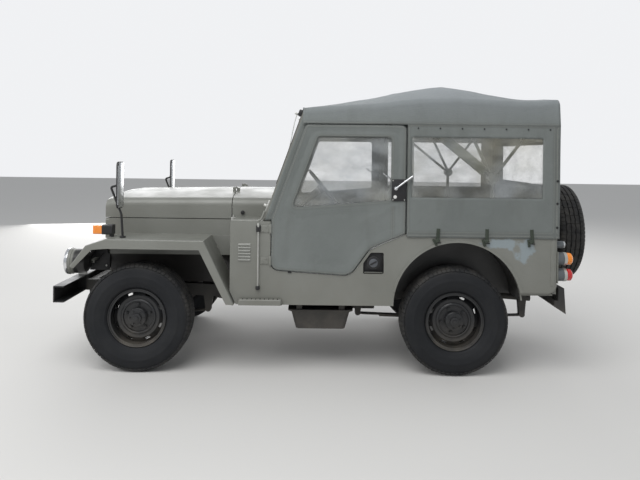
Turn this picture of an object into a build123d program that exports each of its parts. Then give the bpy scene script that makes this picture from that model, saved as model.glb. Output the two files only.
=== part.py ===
"""Army 4x4 car: long open-tub field car with canvas top, live axles and leaf springs.

Millimetres. +X is forward, +Y is the car's left, +Z is up. The origin is on the ground,
under the middle of the overall box.
"""
import os
from math import asin, atan2, cos, degrees, hypot, radians, sin, tan

from build123d import *

os.makedirs("parts", exist_ok=True)

# Overall box and axles
HALF_LENGTH = 1943.0
HALF_WIDTH = 832.5
WHEELBASE = 2225.0
FRONT_AXLE_X = 1370.0
REAR_AXLE_X = FRONT_AXLE_X - WHEELBASE
TYRE_R = 378.0
TYRE_WIDTH = 215.0
HUB_Z = TYRE_R
HALF_TRACK = 665.0

# Wheels and hubs, measured from the wheel's middle plane along the axle, outwards positive
RIM_SEAT_R = 190.0
RIM_FLANGE_R = 206.0
RIM_HALF_WIDTH = 76.0
DISC_FACE = 22.0
DRUM_R = 148.0
HUB_BORE_R = 24.5
SPINDLE_R = 24.0

# Steering
KINGPIN_Y = 545.0
ARM_REACH = 150.0
TIE_ROD_R = 13.0

COLUMN_Y = -380.0
WHEEL_CENTRE = Vector(72, COLUMN_Y, 1250)
WHEEL_R = 198.0
GRIP_R = 12.0
COLUMN_R = 24.0
COLUMN_LEAN = 40.0
COLUMN_DIR = Vector(cos(radians(COLUMN_LEAN)), 0, -sin(radians(COLUMN_LEAN)))

# Chassis
RAIL_INNER_Y = 322.0
RAIL_OUTER_Y = 372.0
RAIL_LOW_Z = 450.0
RAIL_TOP_Z = 540.0
SPRING_Y = 347.0

# Body tub
BODY_Y = 790.0
WALL = 25.0
SILL_Z = 496.0
TUB_TOP_Z = 994.0
TAIL_X = -1551.0
TAIL_LOW_Z = 588.0
SIDE_FRONT_X = 716.0
SHELF_Z = 1070.0
FLOOR_Z = 540.0
FLOOR_THICK = 12.0
REAR_FLOOR_Z = 575.0
STRAP_TOP = (893.0, 936.0)
STRAP_LOW = (682.0, 500.0)
STRAP_AT_FRONT_Z = STRAP_LOW[1] + (SIDE_FRONT_X - STRAP_LOW[0] + 8.0) * (
    STRAP_TOP[1] - STRAP_LOW[1]
) / (STRAP_TOP[0] - STRAP_LOW[0])
ARCH_X = -862.0
ARCH_Z = 496.0
ARCH_R = 444.0
HOUSE_INNER_Y = 515.0

# Bonnet, cowl and grille
BONNET_REAR_X = 751.0
BONNET_FRONT_X = 1682.0
BONNET_HALF = 500.0
BONNET_SEAM_Z = 1056.0
SHOULDER_Z = 1212.0
SHOULDER_R = 60.0
CREST_REAR_Z = 1262.0
CREST_FRONT_Z = 1244.0
SHEET = 14.0
HINGE_X = 748.0
HINGE_Y = 260.0
HINGE_Z = 1272.0
COWL_REAR_X = 402.0

# Headlamps
LAMP_Y = 605.0
LAMP_Z = 748.0
LAMP_R = 92.0

# Windscreen: the front face runs from foot to head
SCREEN_FOOT = (494.0, 1070.0)
SCREEN_HEAD = (216.0, 1854.0)
SCREEN_DEPTH = 46.0
SCREEN_TILT = degrees(atan2(SCREEN_FOOT[0] - SCREEN_HEAD[0], SCREEN_HEAD[1] - SCREEN_FOOT[1]))
SCREEN_HALF = 770.0

# Canvas
CANVAS = 9.0
CANVAS_Y = 800.0
CURTAIN_LOW_Z = 972.0
VALANCE_Z = 1752.0
DOOR_REAR_X = -500.0
GAP = 6.0


def keep(builder, name):
    """Label a finished piece and write its STEP file."""
    builder.part.label = name
    export_step(builder.part, f"parts/{name}.step")


def side_plane(y):
    """XZ sketch plane whose extrusions run from y towards -Y."""
    return Plane.XZ.offset(-y)


def cross_plane(x):
    """YZ sketch plane at x, whose extrusions run towards +X."""
    return Plane.YZ.offset(x)


# Ladder frame: two rails with the rear kick-up, and five cross members
RAIL_PATH = [
    # x, low z, top z
    (1868.0, 486.0, 566.0),
    (1560.0, 486.0, 566.0),
    (900.0, RAIL_LOW_Z, RAIL_TOP_Z),
    (-520.0, RAIL_LOW_Z, RAIL_TOP_Z),
    (-760.0, 500.0, 575.0),
    (-1545.0, 500.0, 575.0),
]
CROSS_MEMBERS = [
    # x of the middle, length along x, z of the middle, height
    (1830.0, 60.0, 526.0, 70.0),
    (1100.0, 70.0, 482.0, 40.0),
    (150.0, 80.0, 474.0, 44.0),
    (-560.0, 70.0, 512.0, 60.0),
    (-1515.0, 60.0, 538.0, 66.0),
]
with BuildPart() as frame:
    for rail_y in (RAIL_OUTER_Y, -RAIL_INNER_Y):
        with BuildSketch(side_plane(rail_y)):
            with BuildLine():
                Polyline(
                    *[(x, low) for x, low, top in RAIL_PATH],
                    *[(x, top) for x, low, top in reversed(RAIL_PATH)],
                    close=True,
                )
            make_face()
        extrude(amount=RAIL_OUTER_Y - RAIL_INNER_Y)
    for cross_x, cross_length, cross_z, cross_height in CROSS_MEMBERS:
        with Locations((cross_x, 0, cross_z)):
            Box(cross_length, 2 * RAIL_INNER_Y + 4, cross_height)
keep(frame, "frame")


def rail_low(x):
    """Height of the rails' lower edge at x."""
    for ahead, behind in zip(RAIL_PATH, RAIL_PATH[1:]):
        if x >= behind[0]:
            share = (x - behind[0]) / (ahead[0] - behind[0])
            return behind[1] + share * (ahead[1] - behind[1])
    return RAIL_PATH[-1][1]


# Front bumper: a wide channel, open to the rear, on two plates at the rail ends
BUMPER_FRONT_X = HALF_LENGTH
BUMPER_HALF = 775.0
BUMPER_LOW_Z = 488.0
BUMPER_TOP_Z = 602.0
BUMPER_DEPTH = 74.0
with BuildPart() as front_bumper:
    with BuildSketch(Plane.XZ.offset(-BUMPER_HALF)):
        with BuildLine():
            Polyline(
                (BUMPER_FRONT_X, BUMPER_LOW_Z),
                (BUMPER_FRONT_X, BUMPER_TOP_Z),
                (BUMPER_FRONT_X - BUMPER_DEPTH, BUMPER_TOP_Z),
                (BUMPER_FRONT_X - BUMPER_DEPTH, BUMPER_TOP_Z - 9),
                (BUMPER_FRONT_X - 9, BUMPER_TOP_Z - 9),
                (BUMPER_FRONT_X - 9, BUMPER_LOW_Z + 9),
                (BUMPER_FRONT_X - BUMPER_DEPTH, BUMPER_LOW_Z + 9),
                (BUMPER_FRONT_X - BUMPER_DEPTH, BUMPER_LOW_Z),
                close=True,
            )
        make_face()
    extrude(amount=2 * BUMPER_HALF)
    bracket_length = BUMPER_FRONT_X - 5 - RAIL_PATH[0][0]
    bracket_x = RAIL_PATH[0][0] + bracket_length / 2
    with Locations((bracket_x, SPRING_Y, 545), (bracket_x, -SPRING_Y, 545)):
        Box(bracket_length, 50, 97)
keep(front_bumper, "front_bumper")

# Towing eyes: a plate with a bored eye on top of each rail's front end
EYE_X = 1905.0
EYE_Z = 640.0
EYE_R = 13.0
EYE_PLATE = 18.0
with BuildPart() as towing_eyes:
    for eye_y in (SPRING_Y, -SPRING_Y):
        with BuildSketch(side_plane(eye_y + EYE_PLATE / 2)):
            with BuildLine():
                Polyline(
                    (EYE_X - 30, BUMPER_TOP_Z), (EYE_X + 30, BUMPER_TOP_Z),
                    (EYE_X + 30, EYE_Z), (EYE_X - 30, EYE_Z), close=True,
                )
            make_face()
            with Locations((EYE_X, EYE_Z)):
                Circle(30)
            with Locations((EYE_X, EYE_Z)):
                Circle(EYE_R, mode=Mode.SUBTRACT)
        extrude(amount=EYE_PLATE)
keep(towing_eyes, "towing_eyes")

# Rear bumperettes: a pressed angle under each rear corner
with BuildPart() as rear_bumperettes:
    for plate_y in (760.0, -540.0):
        with BuildSketch(side_plane(plate_y)):
            with BuildLine():
                Polyline(
                    (TAIL_X - 73, 447), (TAIL_X - 60, 627), (TAIL_X - 20, 627),
                    (TAIL_X - 20, 540), (TAIL_X + 6, 540), (TAIL_X + 6, 500),
                    close=True,
                )
            make_face()
        extrude(amount=220)
    for side in (1, -1):
        with Locations((RAIL_PATH[-1][0] - 20, side * 450, 520)):
            Box(40, 200, 40)
keep(rear_bumperettes, "rear_bumperettes")

# Pintle hook on the rear cross member: a jaw with a vertical pin hole
PINTLE_X = TAIL_X - 62
PINTLE_Z = 530.0
PINTLE_R = 14.0
with BuildPart() as tow_pintle:
    with Locations((TAIL_X - 3, 0, PINTLE_Z)):
        Box(18, 130, 100)
    with Locations((TAIL_X - 40, 0, PINTLE_Z)):
        Box(70, 46, 56)
    with Locations((PINTLE_X, 0, PINTLE_Z)):
        Cylinder(32, 56)
    with Locations((PINTLE_X, 0, PINTLE_Z)):
        Cylinder(PINTLE_R, 80, mode=Mode.SUBTRACT)
keep(tow_pintle, "tow_pintle")

# Front axle: tube, spring pads, round casing set to the right, and a forked yoke at each end
AXLE_R = 42.0
CASING_Y = -190.0
CASING_R = 112.0
LEAF_WIDTH = 46.0
SADDLE_Z = HUB_Z - AXLE_R
YOKE_REACH = 92.0
YOKE_EAR = 22.0
EAR_R = 28.0
EAR_BORE_R = 16.0
with BuildPart() as front_axle:
    with Locations(Location((FRONT_AXLE_X, 0, HUB_Z), (90, 0, 0))):
        Cylinder(AXLE_R, 2 * (KINGPIN_Y - 90))
    with Locations((FRONT_AXLE_X, CASING_Y, HUB_Z)):
        Sphere(CASING_R)
    with Locations(Location((FRONT_AXLE_X - 120, CASING_Y, HUB_Z), (0, 90, 0))):
        Cone(66, 40, 90)
    for side in (1, -1):
        with Locations((FRONT_AXLE_X, side * SPRING_Y, SADDLE_Z + 2)):
            Box(110, LEAF_WIDTH + 26, 28)
        with Locations((FRONT_AXLE_X, side * (KINGPIN_Y - 82), HUB_Z)):
            Box(64, 30, 2 * YOKE_REACH + 2 * YOKE_EAR)
        for up in (1, -1):
            ear_z = HUB_Z + up * (YOKE_REACH + YOKE_EAR / 2)
            with Locations((FRONT_AXLE_X, side * (KINGPIN_Y - 42), ear_z)):
                Box(64, 84, YOKE_EAR)
            with Locations((FRONT_AXLE_X, side * KINGPIN_Y, ear_z)):
                Cylinder(EAR_R, YOKE_EAR)
            with Locations((FRONT_AXLE_X, side * KINGPIN_Y, ear_z)):
                Cylinder(EAR_BORE_R, YOKE_EAR + 2, mode=Mode.SUBTRACT)
keep(front_axle, "front_axle")

# Rear axle: tube, spring pads, round casing in line with the front one, brake plates and spindles
PLATE_Y = HALF_TRACK - 78.0
with BuildPart() as rear_axle:
    with Locations(Location((REAR_AXLE_X, 0, HUB_Z), (90, 0, 0))):
        Cylinder(AXLE_R, 2 * PLATE_Y)
    with Locations((REAR_AXLE_X, CASING_Y, HUB_Z)):
        Sphere(CASING_R)
    with Locations(Location((REAR_AXLE_X + 120, CASING_Y, HUB_Z), (0, 90, 0))):
        Cone(40, 66, 90)
    for side in (1, -1):
        with Locations((REAR_AXLE_X, side * SPRING_Y, SADDLE_Z + 2)):
            Box(110, LEAF_WIDTH + 26, 28)
        with Locations(Location((REAR_AXLE_X, side * (PLATE_Y - 4), HUB_Z), (90, 0, 0))):
            Cylinder(DRUM_R - 2, 8)
        with Locations(Location((REAR_AXLE_X, side * (PLATE_Y + 62), HUB_Z), (90, 0, 0))):
            Cylinder(SPINDLE_R, 124)
keep(rear_axle, "rear_axle")

# Leaf springs: a three-leaf pack under each axle, with its hanger and shackle
SPRINGS = [
    # axle x, front eye from the axle, rear eye from the axle, eye z
    (FRONT_AXLE_X, 440.0, -430.0, 352.0),
    (REAR_AXLE_X, 654.0, -597.0, 338.0),
]
LEAF_THICK = 9.0
LEAVES = 4
EYE_OUTER_R = 22.0
PLATE_Z = SADDLE_Z - 12 - LEAVES * LEAF_THICK - 6
with BuildPart() as leaf_springs:
    for axle_x, front_eye, rear_eye, eye_z in SPRINGS:
        for spring_y in (SPRING_Y, -SPRING_Y):
            for leaf in range(LEAVES):
                share = 1 - leaf / LEAVES
                top = SADDLE_Z - 12.8 - leaf * LEAF_THICK
                rise = (eye_z - (SADDLE_Z - 12)) * share * share
                with BuildSketch(side_plane(spring_y + LEAF_WIDTH / 2)):
                    with BuildLine():
                        ends = (
                            (axle_x + front_eye * share, top + rise),
                            (axle_x + rear_eye * share, top + rise),
                        )
                        over = ThreePointArc(ends[0], (axle_x, top), ends[1])
                        down = Line(over @ 1, (ends[1][0], ends[1][1] - LEAF_THICK - 0.5))
                        under = ThreePointArc(
                            down @ 1,
                            (axle_x, top - LEAF_THICK - 0.5),
                            (ends[0][0], ends[0][1] - LEAF_THICK - 0.5),
                        )
                        Line(under @ 1, over @ 0)
                    make_face()
                extrude(amount=LEAF_WIDTH)
            for eye_x in (axle_x + front_eye, axle_x + rear_eye):
                with Locations(Location((eye_x, spring_y, eye_z), (90, 0, 0))):
                    Cylinder(EYE_OUTER_R, LEAF_WIDTH)
                rear_low, front_low = rail_low(eye_x - 34), rail_low(eye_x + 34)
                with BuildSketch(side_plane(spring_y + LEAF_WIDTH / 2)):
                    with BuildLine():
                        Polyline(
                            (eye_x - 20, eye_z), (eye_x + 20, eye_z),
                            (eye_x + 34, front_low), (eye_x - 34, rear_low), close=True,
                        )
                    make_face()
                extrude(amount=LEAF_WIDTH)
            with Locations((axle_x, spring_y, PLATE_Z)):
                Box(110, LEAF_WIDTH + 26, 14)
keep(leaf_springs, "leaf_springs")

# Dampers: a leaning tube beside each spring, from the spring plate to the rail
DAMPER_R = 24.0
DAMPER_Y = 292.0
with BuildPart() as dampers:
    for axle_x, lean in ((FRONT_AXLE_X, -150.0), (REAR_AXLE_X, 170.0)):
        for side in (1, -1):
            low = Vector(axle_x + 0.45 * lean, side * DAMPER_Y, PLATE_Z)
            high = Vector(axle_x + lean, side * DAMPER_Y, 520)
            mid = low + (high - low) * 0.5
            with BuildSketch(Plane(low, z_dir=high - low)):
                Circle(DAMPER_R * 0.72)
            extrude(amount=(high - low).length * 0.5)
            with BuildSketch(Plane(mid, z_dir=high - low)):
                Circle(DAMPER_R)
            extrude(amount=(high - low).length * 0.5)
            for end, reach_y in ((low, SPRING_Y - LEAF_WIDTH / 2 - 13), (high, RAIL_INNER_Y)):
                pin_length = reach_y - DAMPER_Y + 14
                pin_y = side * (reach_y - pin_length / 2)
                with Locations(Location((end.X, pin_y, end.Z), (90, 0, 0))):
                    Cylinder(11, pin_length)
keep(dampers, "dampers")

# Engine: one plain block over the front axle, with the sump and the fan shroud's depth
with BuildPart() as engine_block:
    with Locations((1230, 0, 760)):
        Box(620, 420, 340)
    with Locations((1180, 0, 560)):
        Box(480, 260, 60)
    fillet(engine_block.edges().filter_by(Axis.X).group_by(Axis.Z)[-1], 60)
keep(engine_block, "engine_block")

# Gearbox with the transfer case behind it, set to the right like the axle casings
TRANSFER_X = 330.0
with BuildPart() as gearbox:
    with BuildSketch(cross_plane(560)):
        with Locations((0, 620)):
            RectangleRounded(200, 220, 60)
    with BuildSketch(cross_plane(920)):
        with Locations((0, 650)):
            RectangleRounded(340, 340, 80)
    loft()
    with Locations((TRANSFER_X + 115, 0, 612)):
        Box(240, 200, 180)
    with Locations((TRANSFER_X, -95, 475)):
        Box(180, 300, 110)
    with Locations(Location((TRANSFER_X, CASING_Y, 400), (0, 90, 0))):
        Cylinder(70, 180)
keep(gearbox, "gearbox")

# Propeller shafts from the transfer case to both axle casings
SHAFT_R = 26.0
SHAFTS = [
    # transfer end x, axle end x
    (TRANSFER_X + 90.0, FRONT_AXLE_X - 165.0),
    (TRANSFER_X - 90.0, REAR_AXLE_X + 165.0),
]
with BuildPart() as propshafts:
    for case_x, axle_x in SHAFTS:
        start = Vector(case_x, CASING_Y, 400)
        end = Vector(axle_x, CASING_Y, HUB_Z)
        along = 1 if axle_x > case_x else -1
        tube = Plane(start + Vector(along * 14, 0, 0), z_dir=end - start)
        with BuildSketch(tube):
            Circle(SHAFT_R)
        extrude(amount=(end - start).length - 28)
        for joint_x, joint_z in ((case_x + along * 22, 400), (axle_x - along * 22, HUB_Z)):
            with Locations(Location((joint_x, CASING_Y, joint_z), (0, 90, 0))):
                Cylinder(40, 44)
keep(propshafts, "propshafts")

# Exhaust: manifold pipe down the left, silencer across the middle, tailpipe to the rear left
PIPE_R = 24.0
EXHAUST_ROUTE = [
    (1080.0, 236.0, 700.0),
    (900.0, 236.0, 430.0),
    (620.0, 215.0, 400.0),
    (-250.0, 215.0, 401.0),
    (-560.0, 215.0, 435.0),
    (-740.0, 215.0, 480.0),
    (-960.0, 215.0, 480.0),
    (-1300.0, 215.0, 450.0),
    (-1560.0, 215.0, 430.0),
]
with BuildPart() as exhaust:
    with BuildLine():
        FilletPolyline(*EXHAUST_ROUTE, radius=90)
    pipe_start = Vector(*EXHAUST_ROUTE[0])
    pipe_next = Vector(*EXHAUST_ROUTE[1])
    with BuildSketch(Plane(pipe_start, z_dir=pipe_next - pipe_start)):
        Circle(PIPE_R)
    sweep()
    with Locations(Location((-125, EXHAUST_ROUTE[3][1], 401), (0, 90, 0))):
        Cylinder(68, 420)
keep(exhaust, "exhaust")

# Fuel tank: a shallow pressed tank low between the left rail and the sill
TANK_X = 85.0
TANK_Y = 545.0
with BuildPart() as fuel_tank:
    with BuildSketch(Plane.XY.offset(430)):
        with Locations((TANK_X, TANK_Y)):
            RectangleRounded(420, 300, 40)
    with BuildSketch(Plane.XY.offset(298)):
        with Locations((TANK_X, TANK_Y)):
            RectangleRounded(350, 240, 30)
    loft()
    with BuildSketch(Plane.XY.offset(430)):
        with Locations((TANK_X, TANK_Y)):
            RectangleRounded(460, 330, 50)
    extrude(amount=12)
    with Locations((TANK_X - 150, TANK_Y, 491), (TANK_X + 150, TANK_Y, 491)):
        Box(40, 300, 98)
keep(fuel_tank, "fuel_tank")

# Body floor: front pan with its gearbox tunnel, low riser, rear pan and the wheel houses
TUNNEL_HALF = 170.0
TUNNEL_TOP_Z = 790.0
TUNNEL_REAR_X = 215.0
FLOOR_FRONT_X = 664.0
RISER_X = -420.0
FLOOR_HALF = BODY_Y - WALL
with BuildPart() as floor:
    with BuildSketch(Plane.XY.offset(FLOOR_Z)):
        with Locations(((FLOOR_FRONT_X + RISER_X) / 2, 0)):
            Rectangle(FLOOR_FRONT_X - RISER_X, 2 * FLOOR_HALF)
    extrude(amount=FLOOR_THICK)
    with BuildSketch(cross_plane(TUNNEL_REAR_X)):
        with Locations((0, (FLOOR_Z + TUNNEL_TOP_Z) / 2)):
            RectangleRounded(2 * TUNNEL_HALF, TUNNEL_TOP_Z - FLOOR_Z, 40)
        with Locations((0, FLOOR_Z + 30)):
            Rectangle(2 * TUNNEL_HALF, 60)
    extrude(amount=FLOOR_FRONT_X - TUNNEL_REAR_X)
    with BuildSketch(cross_plane(TUNNEL_REAR_X + FLOOR_THICK)):
        with Locations((0, (FLOOR_Z + TUNNEL_TOP_Z) / 2 - FLOOR_THICK)):
            RectangleRounded(2 * (TUNNEL_HALF - FLOOR_THICK), TUNNEL_TOP_Z - FLOOR_Z, 30)
        with Locations((0, FLOOR_Z + 20)):
            Rectangle(2 * (TUNNEL_HALF - FLOOR_THICK), 60)
    extrude(amount=FLOOR_FRONT_X - TUNNEL_REAR_X, mode=Mode.SUBTRACT)
    with BuildSketch(Plane.XY.offset(REAR_FLOOR_Z)):
        with Locations(((RISER_X + TAIL_X + WALL) / 2, 0)):
            Rectangle(RISER_X - TAIL_X - WALL, 2 * FLOOR_HALF)
    extrude(amount=FLOOR_THICK)
    riser_height = REAR_FLOOR_Z + FLOOR_THICK - FLOOR_Z
    with Locations((RISER_X + FLOOR_THICK / 2, 0, FLOOR_Z + riser_height / 2)):
        Box(FLOOR_THICK, 2 * FLOOR_HALF, riser_height)
    for side in (1, -1):
        house_y = side * HOUSE_INNER_Y if side > 0 else -FLOOR_HALF
        with BuildSketch(side_plane(house_y + FLOOR_HALF - HOUSE_INNER_Y)):
            with Locations((ARCH_X, ARCH_Z)):
                Circle(ARCH_R + FLOOR_THICK)
            with Locations((ARCH_X, ARCH_Z - 500 + FLOOR_Z - ARCH_Z)):
                Rectangle(2000, 1000, mode=Mode.SUBTRACT)
        extrude(amount=FLOOR_HALF - HOUSE_INNER_Y)
    for side in (1, -1):
        tunnel_low = HOUSE_INNER_Y + FLOOR_THICK
        tunnel_y = FLOOR_HALF + 1 if side > 0 else -tunnel_low
        with BuildSketch(side_plane(tunnel_y)):
            with Locations((ARCH_X, ARCH_Z)):
                Circle(ARCH_R)
        extrude(amount=FLOOR_HALF + 1 - tunnel_low, mode=Mode.SUBTRACT)
keep(floor, "floor")

# Body sides: one pressing each side, from the cowl past the door to the tail corner
DOOR_OPENING = [
    # x, z, corner radius
    (437.0, 733.0, 60.0),
    (-118.0, 697.0, 110.0),
    (-250.0, 884.0, 120.0),
    (DOOR_REAR_X, TUB_TOP_Z, 0.0),
    (-520.0, 1300.0, 0.0),
    (437.0, 1300.0, 0.0),
]
GATE_HALF = 450.0
GATE_LOW_Z = 626.0
STRAP_GAP = 8.0
SIDE_OUTLINE = [
    # x, z, corner radius
    (SIDE_FRONT_X, SHELF_Z, 12.0),
    (DOOR_OPENING[0][0] - 7, SHELF_Z, 0.0),
    (DOOR_OPENING[0][0] - 7, TUB_TOP_Z, 0.0),
    (TAIL_X, TUB_TOP_Z, 0.0),
    (TAIL_X, TAIL_LOW_Z, 62.0),
    (-1268.0, TAIL_LOW_Z, 30.0),
    (-1200.0, SILL_Z, 0.0),
    (STRAP_LOW[0] - STRAP_GAP, SILL_Z, 0.0),
    (SIDE_FRONT_X, STRAP_AT_FRONT_Z, 0.0),
]
FILLER_X = -277.0
FILLER_Z = 792.0
FILLER_OUTLINE = [
    # x, z, corner radius
    (-206.0, 716.0, 10.0),
    (-206.0, 790.0, 24.0),
    (-258.0, 864.0, 24.0),
    (-349.0, 864.0, 12.0),
    (-349.0, 716.0, 10.0),
]
FILLER_FLANGE = 12.0
LIP_LIFT = 5.0
LIP_WIDTH = 15.0
BEAD_Y = 781.0
BEAD_R = 7.0
BEAD_LINE = [(SIDE_FRONT_X - 4, SHELF_Z + 2), (506.0, SHELF_Z + 2), (482.0, 1140.0)]
LOUVRE_X = 617.0
LOUVRE_Z = 859.0
LOUVRE_PITCH = 21.0
LOUVRE_LENGTH = 84.0
LOUVRE_LIFT = 7.0
CORNER_R = 16.0
for side_name, side in {"side_left": 1, "side_right": -1}.items():
    with BuildPart() as body_side:
        with BuildSketch(side_plane(BODY_Y)):
            with BuildLine():
                FilletPolyline(
                    *[(x, z) for x, z, radius in SIDE_OUTLINE],
                    radius=[radius for x, z, radius in SIDE_OUTLINE],
                    close=True,
                )
            make_face()
            with Locations((ARCH_X, ARCH_Z)):
                Circle(ARCH_R, mode=Mode.SUBTRACT)
            with BuildLine():
                FilletPolyline(
                    *[(x, z) for x, z, radius in DOOR_OPENING],
                    radius=[radius for x, z, radius in DOOR_OPENING],
                    close=True,
                )
            make_face(mode=Mode.SUBTRACT)
        extrude(amount=WALL)
        tail_corner = body_side.edges().filter_by(Axis.Z).sort_by(Axis.X)[:2].sort_by(Axis.Y)[-1]
        fillet(tail_corner, CORNER_R)
        # Turned lip around the wheel arch, and the welded flange up the rear corner
        with BuildSketch(side_plane(BODY_Y + LIP_LIFT)):
            with Locations((ARCH_X, ARCH_Z)):
                Circle(ARCH_R + LIP_WIDTH)
                Circle(ARCH_R, mode=Mode.SUBTRACT)
            with Locations((ARCH_X, TAIL_LOW_Z + 8 - ARCH_R)):
                Rectangle(4 * ARCH_R, 2 * ARCH_R, mode=Mode.SUBTRACT)
        extrude(amount=LIP_LIFT)
        with Locations((TAIL_X + 34, BODY_Y + 1.5, (TAIL_LOW_Z + 62 + TUB_TOP_Z - 30) / 2)):
            Box(24, 3, TUB_TOP_Z - 30 - TAIL_LOW_Z - 62)
        # Rolled bead along the shelf's edge, turning up in front of the windscreen's foot
        with BuildLine():
            FilletPolyline(*[(x, BEAD_Y, z) for x, z in BEAD_LINE], radius=42)
        with BuildSketch(cross_plane(BEAD_LINE[0][0])):
            with Locations((BEAD_Y, BEAD_LINE[0][1])):
                Circle(BEAD_R)
        sweep()
        # Row of louvres over the step: each a wedge that opens downwards
        with BuildSketch(cross_plane(LOUVRE_X - LOUVRE_LENGTH / 2)):
            with Locations((BODY_Y, LOUVRE_Z)):
                with GridLocations(1, LOUVRE_PITCH, 1, 6):
                    Polygon(
                        (-2, -7), (LOUVRE_LIFT, -7), (LOUVRE_LIFT - 2, -2), (-2, 8), align=None,
                    )
        extrude(amount=LOUVRE_LENGTH)
        if side > 0:
            # Fuel filler: a recess shaped to the door's edge, its back wall and the round cap
            with BuildSketch() as recess:
                with BuildLine():
                    FilletPolyline(
                        *[(x, z) for x, z, radius in FILLER_OUTLINE],
                        radius=[radius for x, z, radius in FILLER_OUTLINE],
                        close=True,
                    )
                make_face()
            with BuildSketch(side_plane(BODY_Y)):
                add(recess.sketch)
            extrude(amount=WALL, mode=Mode.SUBTRACT)
            with BuildSketch(side_plane(BODY_Y - WALL)):
                add(recess.sketch)
                offset(amount=FILLER_FLANGE)
            extrude(amount=10)
            with BuildSketch(side_plane(BODY_Y - 4)):
                with Locations((FILLER_X, FILLER_Z)):
                    Circle(44)
            extrude(amount=WALL - 3)
        else:
            mirror(about=Plane.XZ, mode=Mode.REPLACE)
    keep(body_side, side_name)

# Tail panel: the fixed rear wall either side of the tailgate and the sill below it
with BuildPart() as tail_panel:
    with BuildSketch(cross_plane(TAIL_X)):
        with BuildLine():
            Polyline(
                (-FLOOR_HALF, REAR_FLOOR_Z + FLOOR_THICK), (-FLOOR_HALF, TUB_TOP_Z),
                (-GATE_HALF, TUB_TOP_Z), (-GATE_HALF, GATE_LOW_Z),
                (GATE_HALF, GATE_LOW_Z), (GATE_HALF, TUB_TOP_Z),
                (FLOOR_HALF, TUB_TOP_Z), (FLOOR_HALF, REAR_FLOOR_Z + FLOOR_THICK),
                close=True,
            )
        make_face()
    extrude(amount=WALL)
keep(tail_panel, "tail_panel")


def crowned_section(x, low_half, top_half, low_z, shoulder_z, crest_z, radius=SHOULDER_R):
    """Arched section at x: straight sides, rounded shoulders and one arc over the top."""
    lean = 2 * atan2(crest_z - shoulder_z, top_half - radius)
    turn = (radians(90) - lean) / 2
    centre_y, centre_z = top_half - radius, shoulder_z - radius
    mid_y, mid_z = centre_y + radius * cos(turn), centre_z + radius * sin(turn)
    end_y, end_z = centre_y + radius * sin(lean), centre_z + radius * cos(lean)
    with BuildSketch(cross_plane(x)) as section:
        with BuildLine():
            Polyline(
                (top_half, centre_z), (low_half, low_z), (-low_half, low_z), (-top_half, centre_z)
            )
            ThreePointArc((-top_half, centre_z), (-mid_y, mid_z), (-end_y, end_z))
            ThreePointArc((-end_y, end_z), (0, crest_z), (end_y, end_z))
            ThreePointArc((end_y, end_z), (mid_y, mid_z), (top_half, centre_z))
        make_face()
    return section.sketch


# Cowl: crowned top behind the bonnet, side shelves, firewall and instrument panel
FIREWALL_X = 690.0
COWL_FRONT_X = BONNET_REAR_X - GAP
with BuildPart() as cowl:
    outer_wall = crowned_section(
        COWL_REAR_X, BONNET_HALF, BONNET_HALF, BONNET_SEAM_Z, SHOULDER_Z, CREST_REAR_Z
    )
    extrude(outer_wall, amount=COWL_FRONT_X - COWL_REAR_X)
    inner_wall = crowned_section(
        COWL_REAR_X, BONNET_HALF - SHEET, BONNET_HALF - SHEET, BONNET_SEAM_Z,
        SHOULDER_Z - SHEET, CREST_REAR_Z - SHEET, SHOULDER_R - SHEET,
    )
    extrude(inner_wall, amount=COWL_FRONT_X - COWL_REAR_X, mode=Mode.SUBTRACT)
    for side in (1, -1):
        shelf_y = side * (BONNET_HALF - SHEET + FLOOR_HALF) / 2
        with Locations(((COWL_REAR_X + SIDE_FRONT_X) / 2, shelf_y, SHELF_Z - SHEET / 2)):
            Box(SIDE_FRONT_X - COWL_REAR_X, FLOOR_HALF - BONNET_HALF + SHEET, SHEET)
    with BuildSketch(cross_plane(FIREWALL_X - 40)):
        with BuildLine():
            Polyline(
                (FLOOR_HALF, FLOOR_Z + FLOOR_THICK), (FLOOR_HALF, SHELF_Z - SHEET / 2),
                (BONNET_HALF - 2, SHELF_Z - SHEET / 2), (BONNET_HALF - 2, SHOULDER_Z - SHOULDER_R),
                (BONNET_HALF - SHOULDER_R, SHOULDER_Z - 8),
                (-BONNET_HALF + SHOULDER_R, SHOULDER_Z - 8),
                (-BONNET_HALF + 2, SHOULDER_Z - SHOULDER_R), (-BONNET_HALF + 2, SHELF_Z - SHEET / 2),
                (-FLOOR_HALF, SHELF_Z - SHEET / 2), (-FLOOR_HALF, FLOOR_Z + FLOOR_THICK),
                (-TUNNEL_HALF, FLOOR_Z + FLOOR_THICK), (-TUNNEL_HALF, TUNNEL_TOP_Z),
                (TUNNEL_HALF, TUNNEL_TOP_Z), (TUNNEL_HALF, FLOOR_Z + FLOOR_THICK),
                close=True,
            )
        make_face()
    extrude(amount=FLOOR_THICK)
    with BuildSketch(cross_plane(COWL_REAR_X)):
        with Locations((0, 1055)):
            RectangleRounded(2 * FLOOR_HALF - 4, 190, 30)
    extrude(amount=FLOOR_THICK)
    with BuildSketch(Plane(WHEEL_CENTRE, z_dir=COLUMN_DIR)):
        Circle(COLUMN_R + 1)
    extrude(amount=760, mode=Mode.SUBTRACT)
    for side in (1, -1):
        with Locations((734, side * (HINGE_Y - 7), HINGE_Z - 22)):
            Box(22, 12, 44)
        with Locations(Location((HINGE_X, side * (HINGE_Y - 7), HINGE_Z), (90, 0, 0))):
            Cylinder(8, 12)
keep(cowl, "cowl")

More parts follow.
